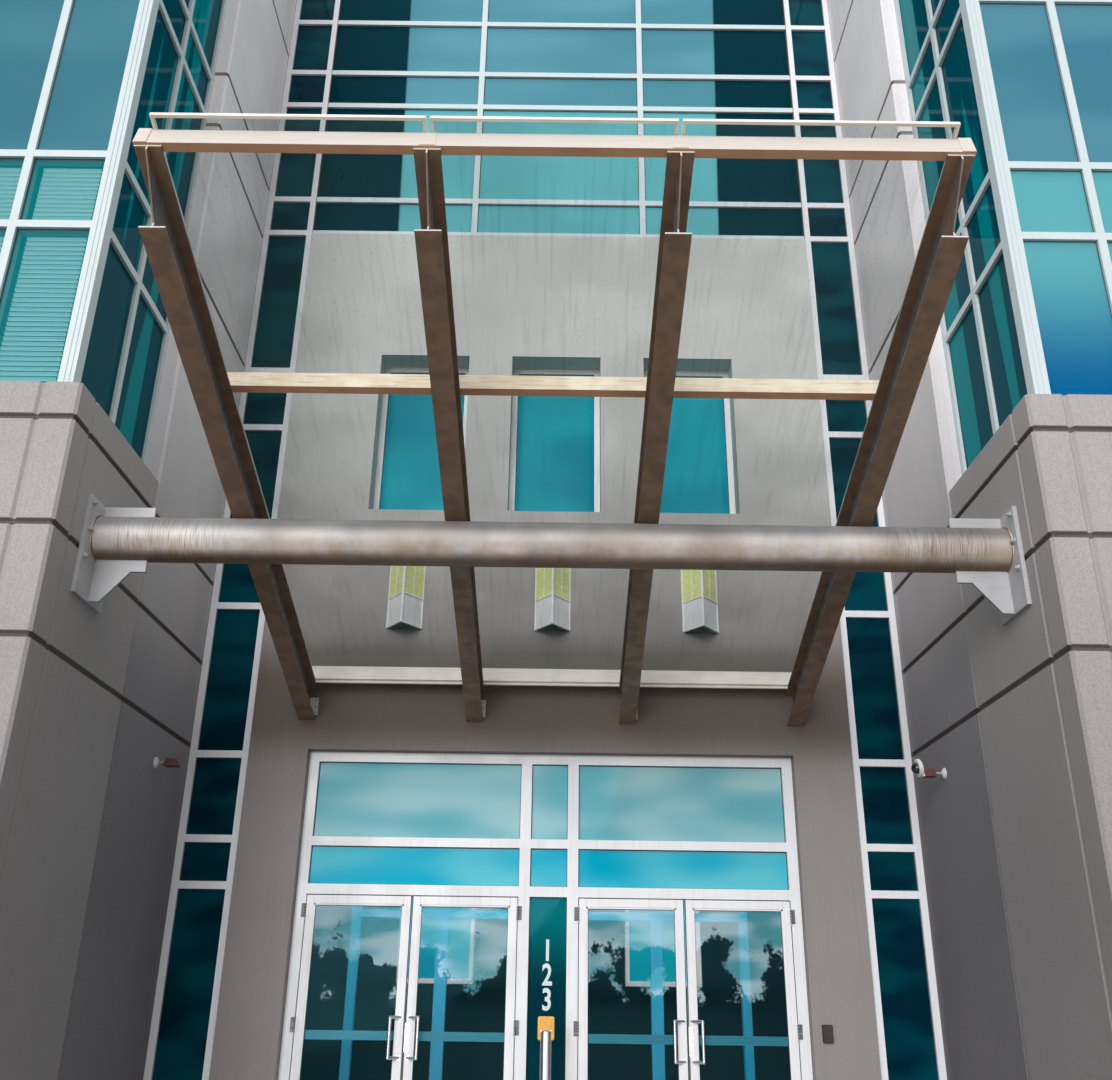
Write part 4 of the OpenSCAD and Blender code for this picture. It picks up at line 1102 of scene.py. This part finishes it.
def makeRidges():
    shape = bmesh.new()
    for side in ("left", "right"):
        low, high = corners(f"glass_box_frame_{side}")
        inner, outwards = (high.x, -1) if side == "left" else (low.x, 1)
        half = ridges["width"] / 2
        for step in ridges["steps"]:
            middle = inner + outwards * step * ridges["postWidth"]
            block(shape, (middle - half, low.y - ridges["proud"], low.z + ridges["endGap"]),
                  (middle + half, low.y + ridges["sunk"], high.z - ridges["endGap"]), ridges["bevel"])
    finishPiece("postRidges", shape, "white_frame")


makeRidges()

# Sealant between the frames and the stucco
sealant = {"width": 0.007, "over": 0.002, "deep": 0.02}


def makeSealant():
    shape = bmesh.new()
    for nodeName in ("glazing_strip_frames", "storefront_frame"):
        low, high = corners(nodeName)
        spans = [(low.x, high.x)]
        if nodeName == "glazing_strip_frames":
            half = (high.x - low.x) / 2
            inner = min(abs(edge) for pair in solidBoxes(nodeName) for edge in (pair[0].x, pair[1].x))
            spans = [(-half, -inner), (inner, half)]
        front = low.y
        for left, right in spans:
            for edge in (left, right):
                block(shape, (edge - sealant["width"] / 2, front - sealant["over"], low.z),
                      (edge + sealant["width"] / 2, front + sealant["deep"], high.z))
            block(shape, (left, front - sealant["over"], high.z - sealant["width"] / 2),
                  (right, front + sealant["deep"], high.z + sealant["width"] / 2))
    finishPiece("frameSealant", shape, "caulk")


makeSealant()

# Horizontal blinds behind the glass
blinds = {
    "depth": 0.03, "pitch": 0.042, "tilt": -0.95, "sideGap": 0.055, "back": 0.035, "endGap": 0.04,
    "topOfBoxRows": 7.6, "footOfWindows": 3.0, "topOfCurtainRows": 11.1,
}


def blindBehind(low, high):
    size = high - low
    thinAxis, outward = paneFacing(low, high)
    place = (low + high) / 2
    place[thinAxis] -= outward * (size[thinAxis] / 2 + blinds["back"])
    place.z = low.z + blinds["pitch"]
    return grow(slatTree, [place], "slat", {
        "Width": size[1 - thinAxis] - 2 * blinds["sideGap"], "Depth": blinds["depth"], "Tilt": blinds["tilt"],
        "Pitch": blinds["pitch"], "Count": int((size.z - blinds["endGap"]) / blinds["pitch"]),
        "Turn": 0.0 if thinAxis == 1 else math.pi / 2})


def makeBlinds():
    boxPanes = solidBoxes("glass_box_panes_left") + solidBoxes("glass_box_panes_right")
    panes = [pane for pane in boxPanes if pane[1].z < blinds["topOfBoxRows"]]
    panes += [pane for pane in solidBoxes("window_panes") if pane[0].z > blinds["footOfWindows"]]
    panes += [pane for pane in solidBoxes("curtain_wall_panes") if pane[1].z < blinds["topOfCurtainRows"]]
    finishGrown("windowBlinds", [blindBehind(low, high) for low, high in panes], "slat")


makeBlinds()
print("gaskets and blinds ready")

# Wall lights: white edges, a lattice over lime panes, a blank lower panel and a dark underside, a black sheet
# that is painted shade in the lamp's recessed underside
sconce = {
    "edge": 0.013, "proud": 0.007, "edgeSunk": 0.002, "edgeBevel": 0.0015, "blank": 0.29, "bar": 0.006,
    "uprightProud": 0.005, "rowProud": 0.0046, "barBevel": 0.001, "rows": 7, "paneSunk": 0.001,
    "paneProud": 0.0022, "paneBevel": 0.0005, "inset": 0.024, "backGap": 0.004, "below": 0.004,
    "above": 0.001,
}


# One slanting side, drawn along the side, then upwards, then outwards
def sconceSide(frames, panes, placing, length, height):
    edge, blankTop, half = sconce["edge"], sconce["blank"], sconce["bar"] / 2
    farEdge, topEdge, middle = length - edge, height - edge, length / 2
    for start, end in (((0.0, 0.0), (edge, height)), ((farEdge, 0.0), (length, height)),
                       ((edge, 0.0), (farEdge, edge)), ((edge, topEdge), (farEdge, height)),
                       ((edge, blankTop - edge / 2), (farEdge, blankTop + edge / 2))):
        block(frames, (*start, -sconce["edgeSunk"]), (*end, sconce["proud"]), sconce["edgeBevel"], placing)
    block(frames, (middle - half, blankTop, 0.0), (middle + half, topEdge, sconce["uprightProud"]),
          sconce["barBevel"], placing)
    for row in range(1, sconce["rows"]):
        level = blankTop + row * (topEdge - blankTop) / sconce["rows"]
        block(frames, (edge, level - half, 0.0), (farEdge, level + half, sconce["rowProud"]),
              sconce["barBevel"], placing)
    block(panes, (edge, blankTop, -sconce["paneSunk"]), (farEdge, topEdge, sconce["paneProud"]),
          sconce["paneBevel"], placing)


def makeSconces():
    frames, panes, underside = bmesh.new(), bmesh.new(), bmesh.new()
    for low, high in solidBoxes("wall_lights"):
        middle = (low.x + high.x) / 2
        nose = Vector((middle, low.y, low.z))
        for side, rootX in ((-1, low.x), (1, high.x)):
            root = Vector((rootX, high.y, low.z))
            along = (nose - root).normalized()
            outward = Vector((side * abs(along.y), -abs(along.x), 0.0)).normalized()
            placing = Matrix((
                (along.x, 0.0, outward.x, root.x), (along.y, 0.0, outward.y, root.y),
                (0.0, 1.0, 0.0, root.z), (0.0, 0.0, 0.0, 1.0)))
            sconceSide(frames, panes, placing, (nose - root).length, high.z - low.z)
        # The black sheet under each lamp is painted shade in its recessed underside
        inset, back = sconce["inset"], high.y - sconce["backGap"]
        outline = ((low.x + inset, back), (middle, low.y + inset), (high.x - inset, back))
        lower = [underside.verts.new((x, y, low.z - sconce["below"])) for x, y in outline]
        upper = [underside.verts.new((x, y, low.z + sconce["above"])) for x, y in outline]
        underside.faces.new(lower)
        underside.faces.new(upper)
        for index in range(3):
            following = (index + 1) % 3
            underside.faces.new((lower[index], lower[following], upper[following], upper[index]))
    finishPiece("lampFrames", frames, "light_panel")
    finishPiece("lampPanes", panes, "lampPane")
    finishPiece("lampUndersideShade", underside, "gasket")


makeSconces()

# Pipe ends: a rough weld bead round the pipe at each bracket plate
weld = {
    "radius": 0.011, "lumps": 0.0016, "lumpTurns": (2.4, 0.7), "lumpShift": 1.0, "sides": 96, "sunk": 0.003,
    "corners": 7, "cornerTurn": math.pi / 12,
}
pipeLow, pipeHigh = corners("pipe_beam")
pipeRadius = (pipeHigh.z - pipeLow.z) / 2
pipeMiddle = (pipeLow + pipeHigh) / 2


def makeWelds():
    shape = bmesh.new()
    for end in (pipeLow.x, pipeHigh.x):
        inward = 1 if end < 0 else -1
        rings = []
        for step in range(weld["sides"]):
            angle = math.tau * step / weld["sides"]
            fast, slow = weld["lumpTurns"]
            lump = weld["lumps"] * math.sin(step * fast) * math.sin(step * slow + weld["lumpShift"])
            size, root = weld["radius"] + lump, pipeRadius - weld["sunk"]
            tilts = [weld["cornerTurn"] * corner for corner in range(weld["corners"])]
            points = [(size * math.cos(tilt) * inward, root + size * math.sin(tilt)) for tilt in tilts]
            points.append((0.0, root))
            across, upright = math.cos(angle), math.sin(angle)
            rings.append([
                shape.verts.new((end + along, pipeMiddle.y + away * across, pipeMiddle.z + away * upright))
                for along, away in points])
        for index, ring in enumerate(rings):
            following = rings[(index + 1) % len(rings)]
            for corner in range(len(ring)):
                nextCorner = (corner + 1) % len(ring)
                shape.faces.new((ring[corner], ring[nextCorner], following[nextCorner], following[corner]))
    finishPiece("pipeWelds", shape, "rust")


makeWelds()

# Hexagon bolts: six on each bracket plate, three on each rafter clip, four on the opener post's foot plate
bolts = {
    "plate": {"Head Radius": 0.019, "Head Height": 0.012, "Washer Radius": 0.025, "Washer Height": 0.004,
              "Shank Radius": 0.01, "Shank Length": 0.028},
    "clip": {"Head Radius": 0.011, "Head Height": 0.007, "Washer Radius": 0.014, "Washer Height": 0.002,
             "Shank Radius": 0.006, "Shank Length": 0.016},
    "plateThick": 0.03, "plateInset": 0.045, "plateSteps": (-1, 0, 1), "platePitch": 0.2, "clipInset": 0.022,
    "clipFace": -0.012, "footSpread": (0.062, 0.03), "footTop": 0.012,
}


def makeBolts():
    grownMeshes = []
    for side in ("left", "right"):
        low, high = corners(f"pipe_bracket_{side}")
        inward = 1 if side == "left" else -1
        face = (low.x if side == "left" else high.x) + inward * bolts["plateThick"]
        inset = bolts["plateInset"]
        levels = [pipeMiddle.z + step * bolts["platePitch"] for step in bolts["plateSteps"]]
        places = [(face, y, z) for y in (low.y + inset, high.y - inset) for z in levels]
        grownMeshes.append(grow(boltTree, places, "grey_steel",
                                {**bolts["plate"], "Lean": (0.0, inward * math.pi / 2, 0.0)}))
    for low, high in solidBoxes("rafter_wall_clips"):
        inset = bolts["clipInset"]
        levels = (low.z + inset, (low.z + high.z) / 2, high.z - inset)
        places = [(high.x - inset, bolts["clipFace"], z) for z in levels]
        grownMeshes.append(grow(boltTree, places, "grey_steel",
                                {**bolts["clip"], "Lean": (math.pi / 2, 0.0, 0.0)}))
    low, high = corners("opener_post")
    middle = (low + high) / 2
    wide, deep = bolts["footSpread"]
    places = [(middle.x + x, middle.y + y, bolts["footTop"]) for x in (-wide, wide) for y in (-deep, deep)]
    grownMeshes.append(grow(boltTree, places, "grey_steel", {**bolts["clip"], "Lean": (0.0, 0.0, 0.0)}))
    finishGrown("hexBolts", grownMeshes, "grey_steel")


makeBolts()

# Fascia: end blocks that wrap its ends, and a splice plate over each inner rafter
fascia = {
    "blockLength": 0.07, "wrap": 0.006, "under": 0.001, "blockBevel": 0.003, "spliceWidth": 0.085,
    "spliceThick": 0.004, "spliceInset": 0.004, "spliceBevel": 0.001, "seamWidth": 0.004,
    "seamDepth": 0.001, "depth": 0.055,
}


def makeFasciaTrim():
    blocks, seams = bmesh.new(), bmesh.new()
    low, high = corners("fascia_beam")
    bottom, top = canopy["rafterHeight"], canopy["rafterHeight"] + canopy["purlinHeight"]
    back, front = canopy["fasciaSlope"] - fascia["depth"], canopy["fasciaSlope"]
    wrap = fascia["wrap"]
    for end, inner in ((low.x, low.x + fascia["blockLength"]), (high.x, high.x - fascia["blockLength"])):
        outer = end - wrap if end < 0 else end + wrap
        x0, x1 = sorted((outer, inner))
        block(blocks, (x0, back - wrap, bottom - fascia["under"]), (x1, front + wrap, top + wrap),
              fascia["blockBevel"], slopeFrame)
    half, inset = fascia["spliceWidth"] / 2, fascia["spliceInset"]
    seam, deep = fascia["seamWidth"], fascia["seamDepth"]
    for middle in rafterMiddles[1:3]:
        block(blocks, (middle - half, front, bottom + inset),
              (middle + half, front + fascia["spliceThick"], top - inset), fascia["spliceBevel"], slopeFrame)
        for edge in (middle - half - seam, middle + half):
            block(seams, (edge, front - deep, bottom), (edge + seam, front + deep, top), 0.0, slopeFrame)
    finishPiece("fasciaBlocks", blocks, "cream_metal")
    finishPiece("fasciaSeams", seams, "rust")


makeFasciaTrim()
print("canopy trim ready")

# Doors: glazing beads, hinge caps and plates, roses, lock cylinders, seals
doors = {
    "bead": 0.014, "beadDepth": 0.011, "gasket": 0.004, "gasketDepth": 0.003, "stile": 0.065,
    "leafFront": 0.097, "hingeLevels": (0.35, 1.23, 2.13), "hingeLength": 0.115, "hingeOut": 0.009,
    "barrel": 0.0087, "jambGap": 0.005,
    "capProfile": ((0.0, 1.0), (0.003, 1.0), (0.005, 0.6), (0.0075, 0.62), (0.0095, 0.3), (0.01, 0.0)),
    "knuckleSteps": (-0.8, -0.4, 0.0, 0.4, 0.8), "knuckleGap": 0.0007, "knuckleProud": 0.0008,
    "hingeSides": 16, "roseProfile": ((0.0, 0.021), (0.0025, 0.021), (0.005, 0.0189)), "roundSides": 28,
    "pullLevel": 1.145, "pullLength": 0.305, "kickTop": 0.37, "bottom": 0.12, "top": 2.26, "topRail": 0.07,
    "seamWidth": 0.0012, "seamThick": 0.0004, "edgeSeal": 0.003, "meetingSeal": 0.006, "sealThick": 0.0012,
}
locks = {
    "fromEdge": 0.018, "plateProud": 0.005, "above": 0.012,
    "profile": ((0.0, 0.0155), (0.004, 0.015), (0.0062, 0.0125), (0.0062, 0.0)), "slotHalf": 0.0011,
    "slotTall": 0.006, "slotFront": 0.0068, "slotBack": 0.006, "screwAway": 0.092,
    "screwProfile": ((0.0, 0.0052), (0.0012, 0.0048), (0.0018, 0.003), (0.0018, 0.0)), "screwSides": 14,
}
hingePlates = {
    "gap": 0.002, "width": 0.024, "thick": 0.003, "bevel": 0.0008, "screwSteps": (-0.36, 0.0, 0.36),
    "screwProfile": ((0.0, 0.0042), (0.0008, 0.004), (0.0014, 0.0026), (0.0014, 0.0)), "screwSides": 12,
}
upwards = Vector((0.0, 0.0, 1.0))
streetward = Vector((0.0, -1.0, 0.0))


# The leaf's hinged edge, its free edge, and which way along x the free edge lies
def leafEdges(number):
    glassLow, glassHigh = corners(f"door_glass_{number}")
    left, right = glassLow.x - doors["stile"], glassHigh.x + doors["stile"]
    return (left, right, 1) if number % 2 == 1 else (right, left, -1)


def makeBeads(number, beads, rubber):
    low, high = corners(f"door_glass_{number}")
    inner = Vector((doors["bead"], 0.0, doors["bead"]))
    for outward in (-1, 1):
        paneRim(beads, low, high, 1, outward, doors["bead"], doors["beadDepth"])
        paneRim(rubber, low + inner, high - inner, 1, outward, doors["gasket"], doors["gasketDepth"])


def makeHinges(number, metal, knuckles):
    hingeEdge, _, towardsFree = leafEdges(number)
    half, barrel, sides = doors["hingeLength"] / 2, doors["barrel"], doors["hingeSides"]
    cap = [(along, barrel * share) for along, share in doors["capProfile"]]
    tall = half / 5 - doors["knuckleGap"]
    ring = barrel + doors["knuckleProud"]
    axisX, axisY = hingeEdge - towardsFree * doors["jambGap"] / 2, doors["leafFront"] - doors["hingeOut"]
    for level in doors["hingeLevels"]:
        axis = Vector((axisX, axisY, level))
        for end in (-1, 1):
            turned(metal, cap, axis + end * half * upwards, end * upwards, sides)
        for step in doors["knuckleSteps"]:
            turned(knuckles, ((-tall, barrel), (-tall, ring), (tall, ring), (tall, barrel)),
                   axis + step * half * upwards, upwards, sides)


# Thin dark strips on the leaf's front face: the joints of its rails, and the seals along its edges
def makeSeals(number, rubber):
    hingeEdge, freeEdge, towardsFree = leafEdges(number)
    front, bottom, top = doors["leafFront"], doors["bottom"], doors["top"]
    for edge, inwards in ((hingeEdge, towardsFree), (freeEdge, -towardsFree)):
        x0, x1 = sorted(edge + inwards * (doors["stile"] + width) for width in (0.0, doors["seamWidth"]))
        for start, end in ((bottom, doors["kickTop"]), (top - doors["topRail"], top)):
            block(rubber, (x0, front - doors["seamThick"], start), (x1, front, end))
    sealFront = front - doors["sealThick"]
    for edge, width in ((hingeEdge, doors["edgeSeal"]), (freeEdge, -doors["meetingSeal"])):
        x0, x1 = sorted((edge, edge + width * towardsFree))
        block(rubber, (x0, sealFront, bottom), (x1, front, top))
    x0, x1 = sorted((hingeEdge, freeEdge))
    block(rubber, (x0, sealFront, top - doors["edgeSeal"]), (x1, front, top))


def makeLock(number, metal, rubber):
    _, freeEdge, towardsFree = leafEdges(number)
    plate = Vector((freeEdge - towardsFree * locks["fromEdge"], doors["leafFront"] - locks["plateProud"],
                    doors["pullLevel"]))
    base = plate + locks["above"] * upwards
    turned(metal, locks["profile"], base, streetward, doors["roundSides"])
    half, tall = locks["slotHalf"], locks["slotTall"]
    slotFront, slotBack = -locks["slotFront"], -locks["slotBack"]
    block(rubber, base + Vector((-half, slotFront, -tall)), base + Vector((half, slotBack, tall)))
    for end in (-1, 1):
        turned(metal, locks["screwProfile"], plate + end * locks["screwAway"] * upwards, streetward,
               locks["screwSides"])


def makeDoorTrim(number):
    _, freeEdge, towardsFree = leafEdges(number)
    beads, rubber, metal, knuckles = bmesh.new(), bmesh.new(), bmesh.new(), bmesh.new()
    makeBeads(number, beads, rubber)
    makeHinges(number, metal, knuckles)
    post = Vector((freeEdge - towardsFree * doors["stile"] / 2, doors["leafFront"], doors["pullLevel"]))
    for end in (-1, 1):
        turned(metal, doors["roseProfile"], post + end * doors["pullLength"] / 2 * upwards, streetward,
               doors["roundSides"])
    makeSeals(number, rubber)
    if number % 2 == 0:
        makeLock(number, metal, rubber)
    body = f"door_{number}"
    finishPiece(f"doorBeads_{number}", beads, "door_frame", body)
    finishPiece(f"doorRubber_{number}", rubber, "gasket", body)
    finishPiece(f"doorMetal_{number}", metal, "stainless", body)
    finishPiece(f"hingeKnuckles_{number}", knuckles, "hinge", body)


def makeHingePlates():
    shape = bmesh.new()
    half, face = doors["hingeLength"] / 2, doors["leafFront"] - hingePlates["thick"]
    for number in fourNumbers:
        hingeEdge, _, towardsFree = leafEdges(number)
        start = hingeEdge - towardsFree * (doors["jambGap"] / 2 + doors["barrel"] + hingePlates["gap"])
        x0, x1 = sorted((start, start - towardsFree * hingePlates["width"]))
        for level in doors["hingeLevels"]:
            block(shape, (x0, face, level - half), (x1, doors["leafFront"], level + half),
                  hingePlates["bevel"])
            for step in hingePlates["screwSteps"]:
                turned(shape, hingePlates["screwProfile"],
                       Vector(((x0 + x1) / 2, face, level + step * doors["hingeLength"])), streetward,
                       hingePlates["screwSides"])
    finishPiece("hingePlates", shape, "hinge")


for number in fourNumbers:
    makeDoorTrim(number)
makeHingePlates()

# Plain digits stuck on the side light
bayDigits = {
    "text": "123", "size": 0.236, "pitch": 0.1935, "top": 1.757, "thick": 0.0006, "stroke": 0.006,
    "narrow": 0.74, "steps": 6,
}


def makeDigits():
    shape = bmesh.new()
    paneFront = min(low.y for low, _ in solidBoxes("storefront_panes"))
    for index, digit in enumerate(bayDigits["text"]):
        curve = bpy.data.curves.new("digit", "FONT")
        curve.body = digit
        curve.size = bayDigits["size"]
        curve.align_x = "CENTER"
        curve.extrude = bayDigits["thick"]
        curve.offset = bayDigits["stroke"]
        curve.resolution_u = bayDigits["steps"]
        holder = bpy.data.objects.new("digit", curve)
        bpy.context.collection.objects.link(holder)
        graph = bpy.context.evaluated_depsgraph_get()
        mesh = bpy.data.meshes.new_from_object(holder.evaluated_get(graph))
        level = bayDigits["top"] - index * bayDigits["pitch"]
        placing = Matrix.Translation((0.0, paneFront - bayDigits["thick"], level))
        upright = Matrix.Rotation(math.pi / 2, 4, "X")
        mesh.transform(placing @ upright @ Matrix.Diagonal((bayDigits["narrow"], 1.0, 1.0, 1.0)))
        shape.from_mesh(mesh)
        bpy.data.objects.remove(holder)
        bpy.data.curves.remove(curve)
        bpy.data.meshes.remove(mesh)
    bmesh.ops.remove_doubles(shape, verts=shape.verts, dist=mergeDistance)
    finishPiece("bayDigits", shape, "white_frame")


makeDigits()
print("doors ready")
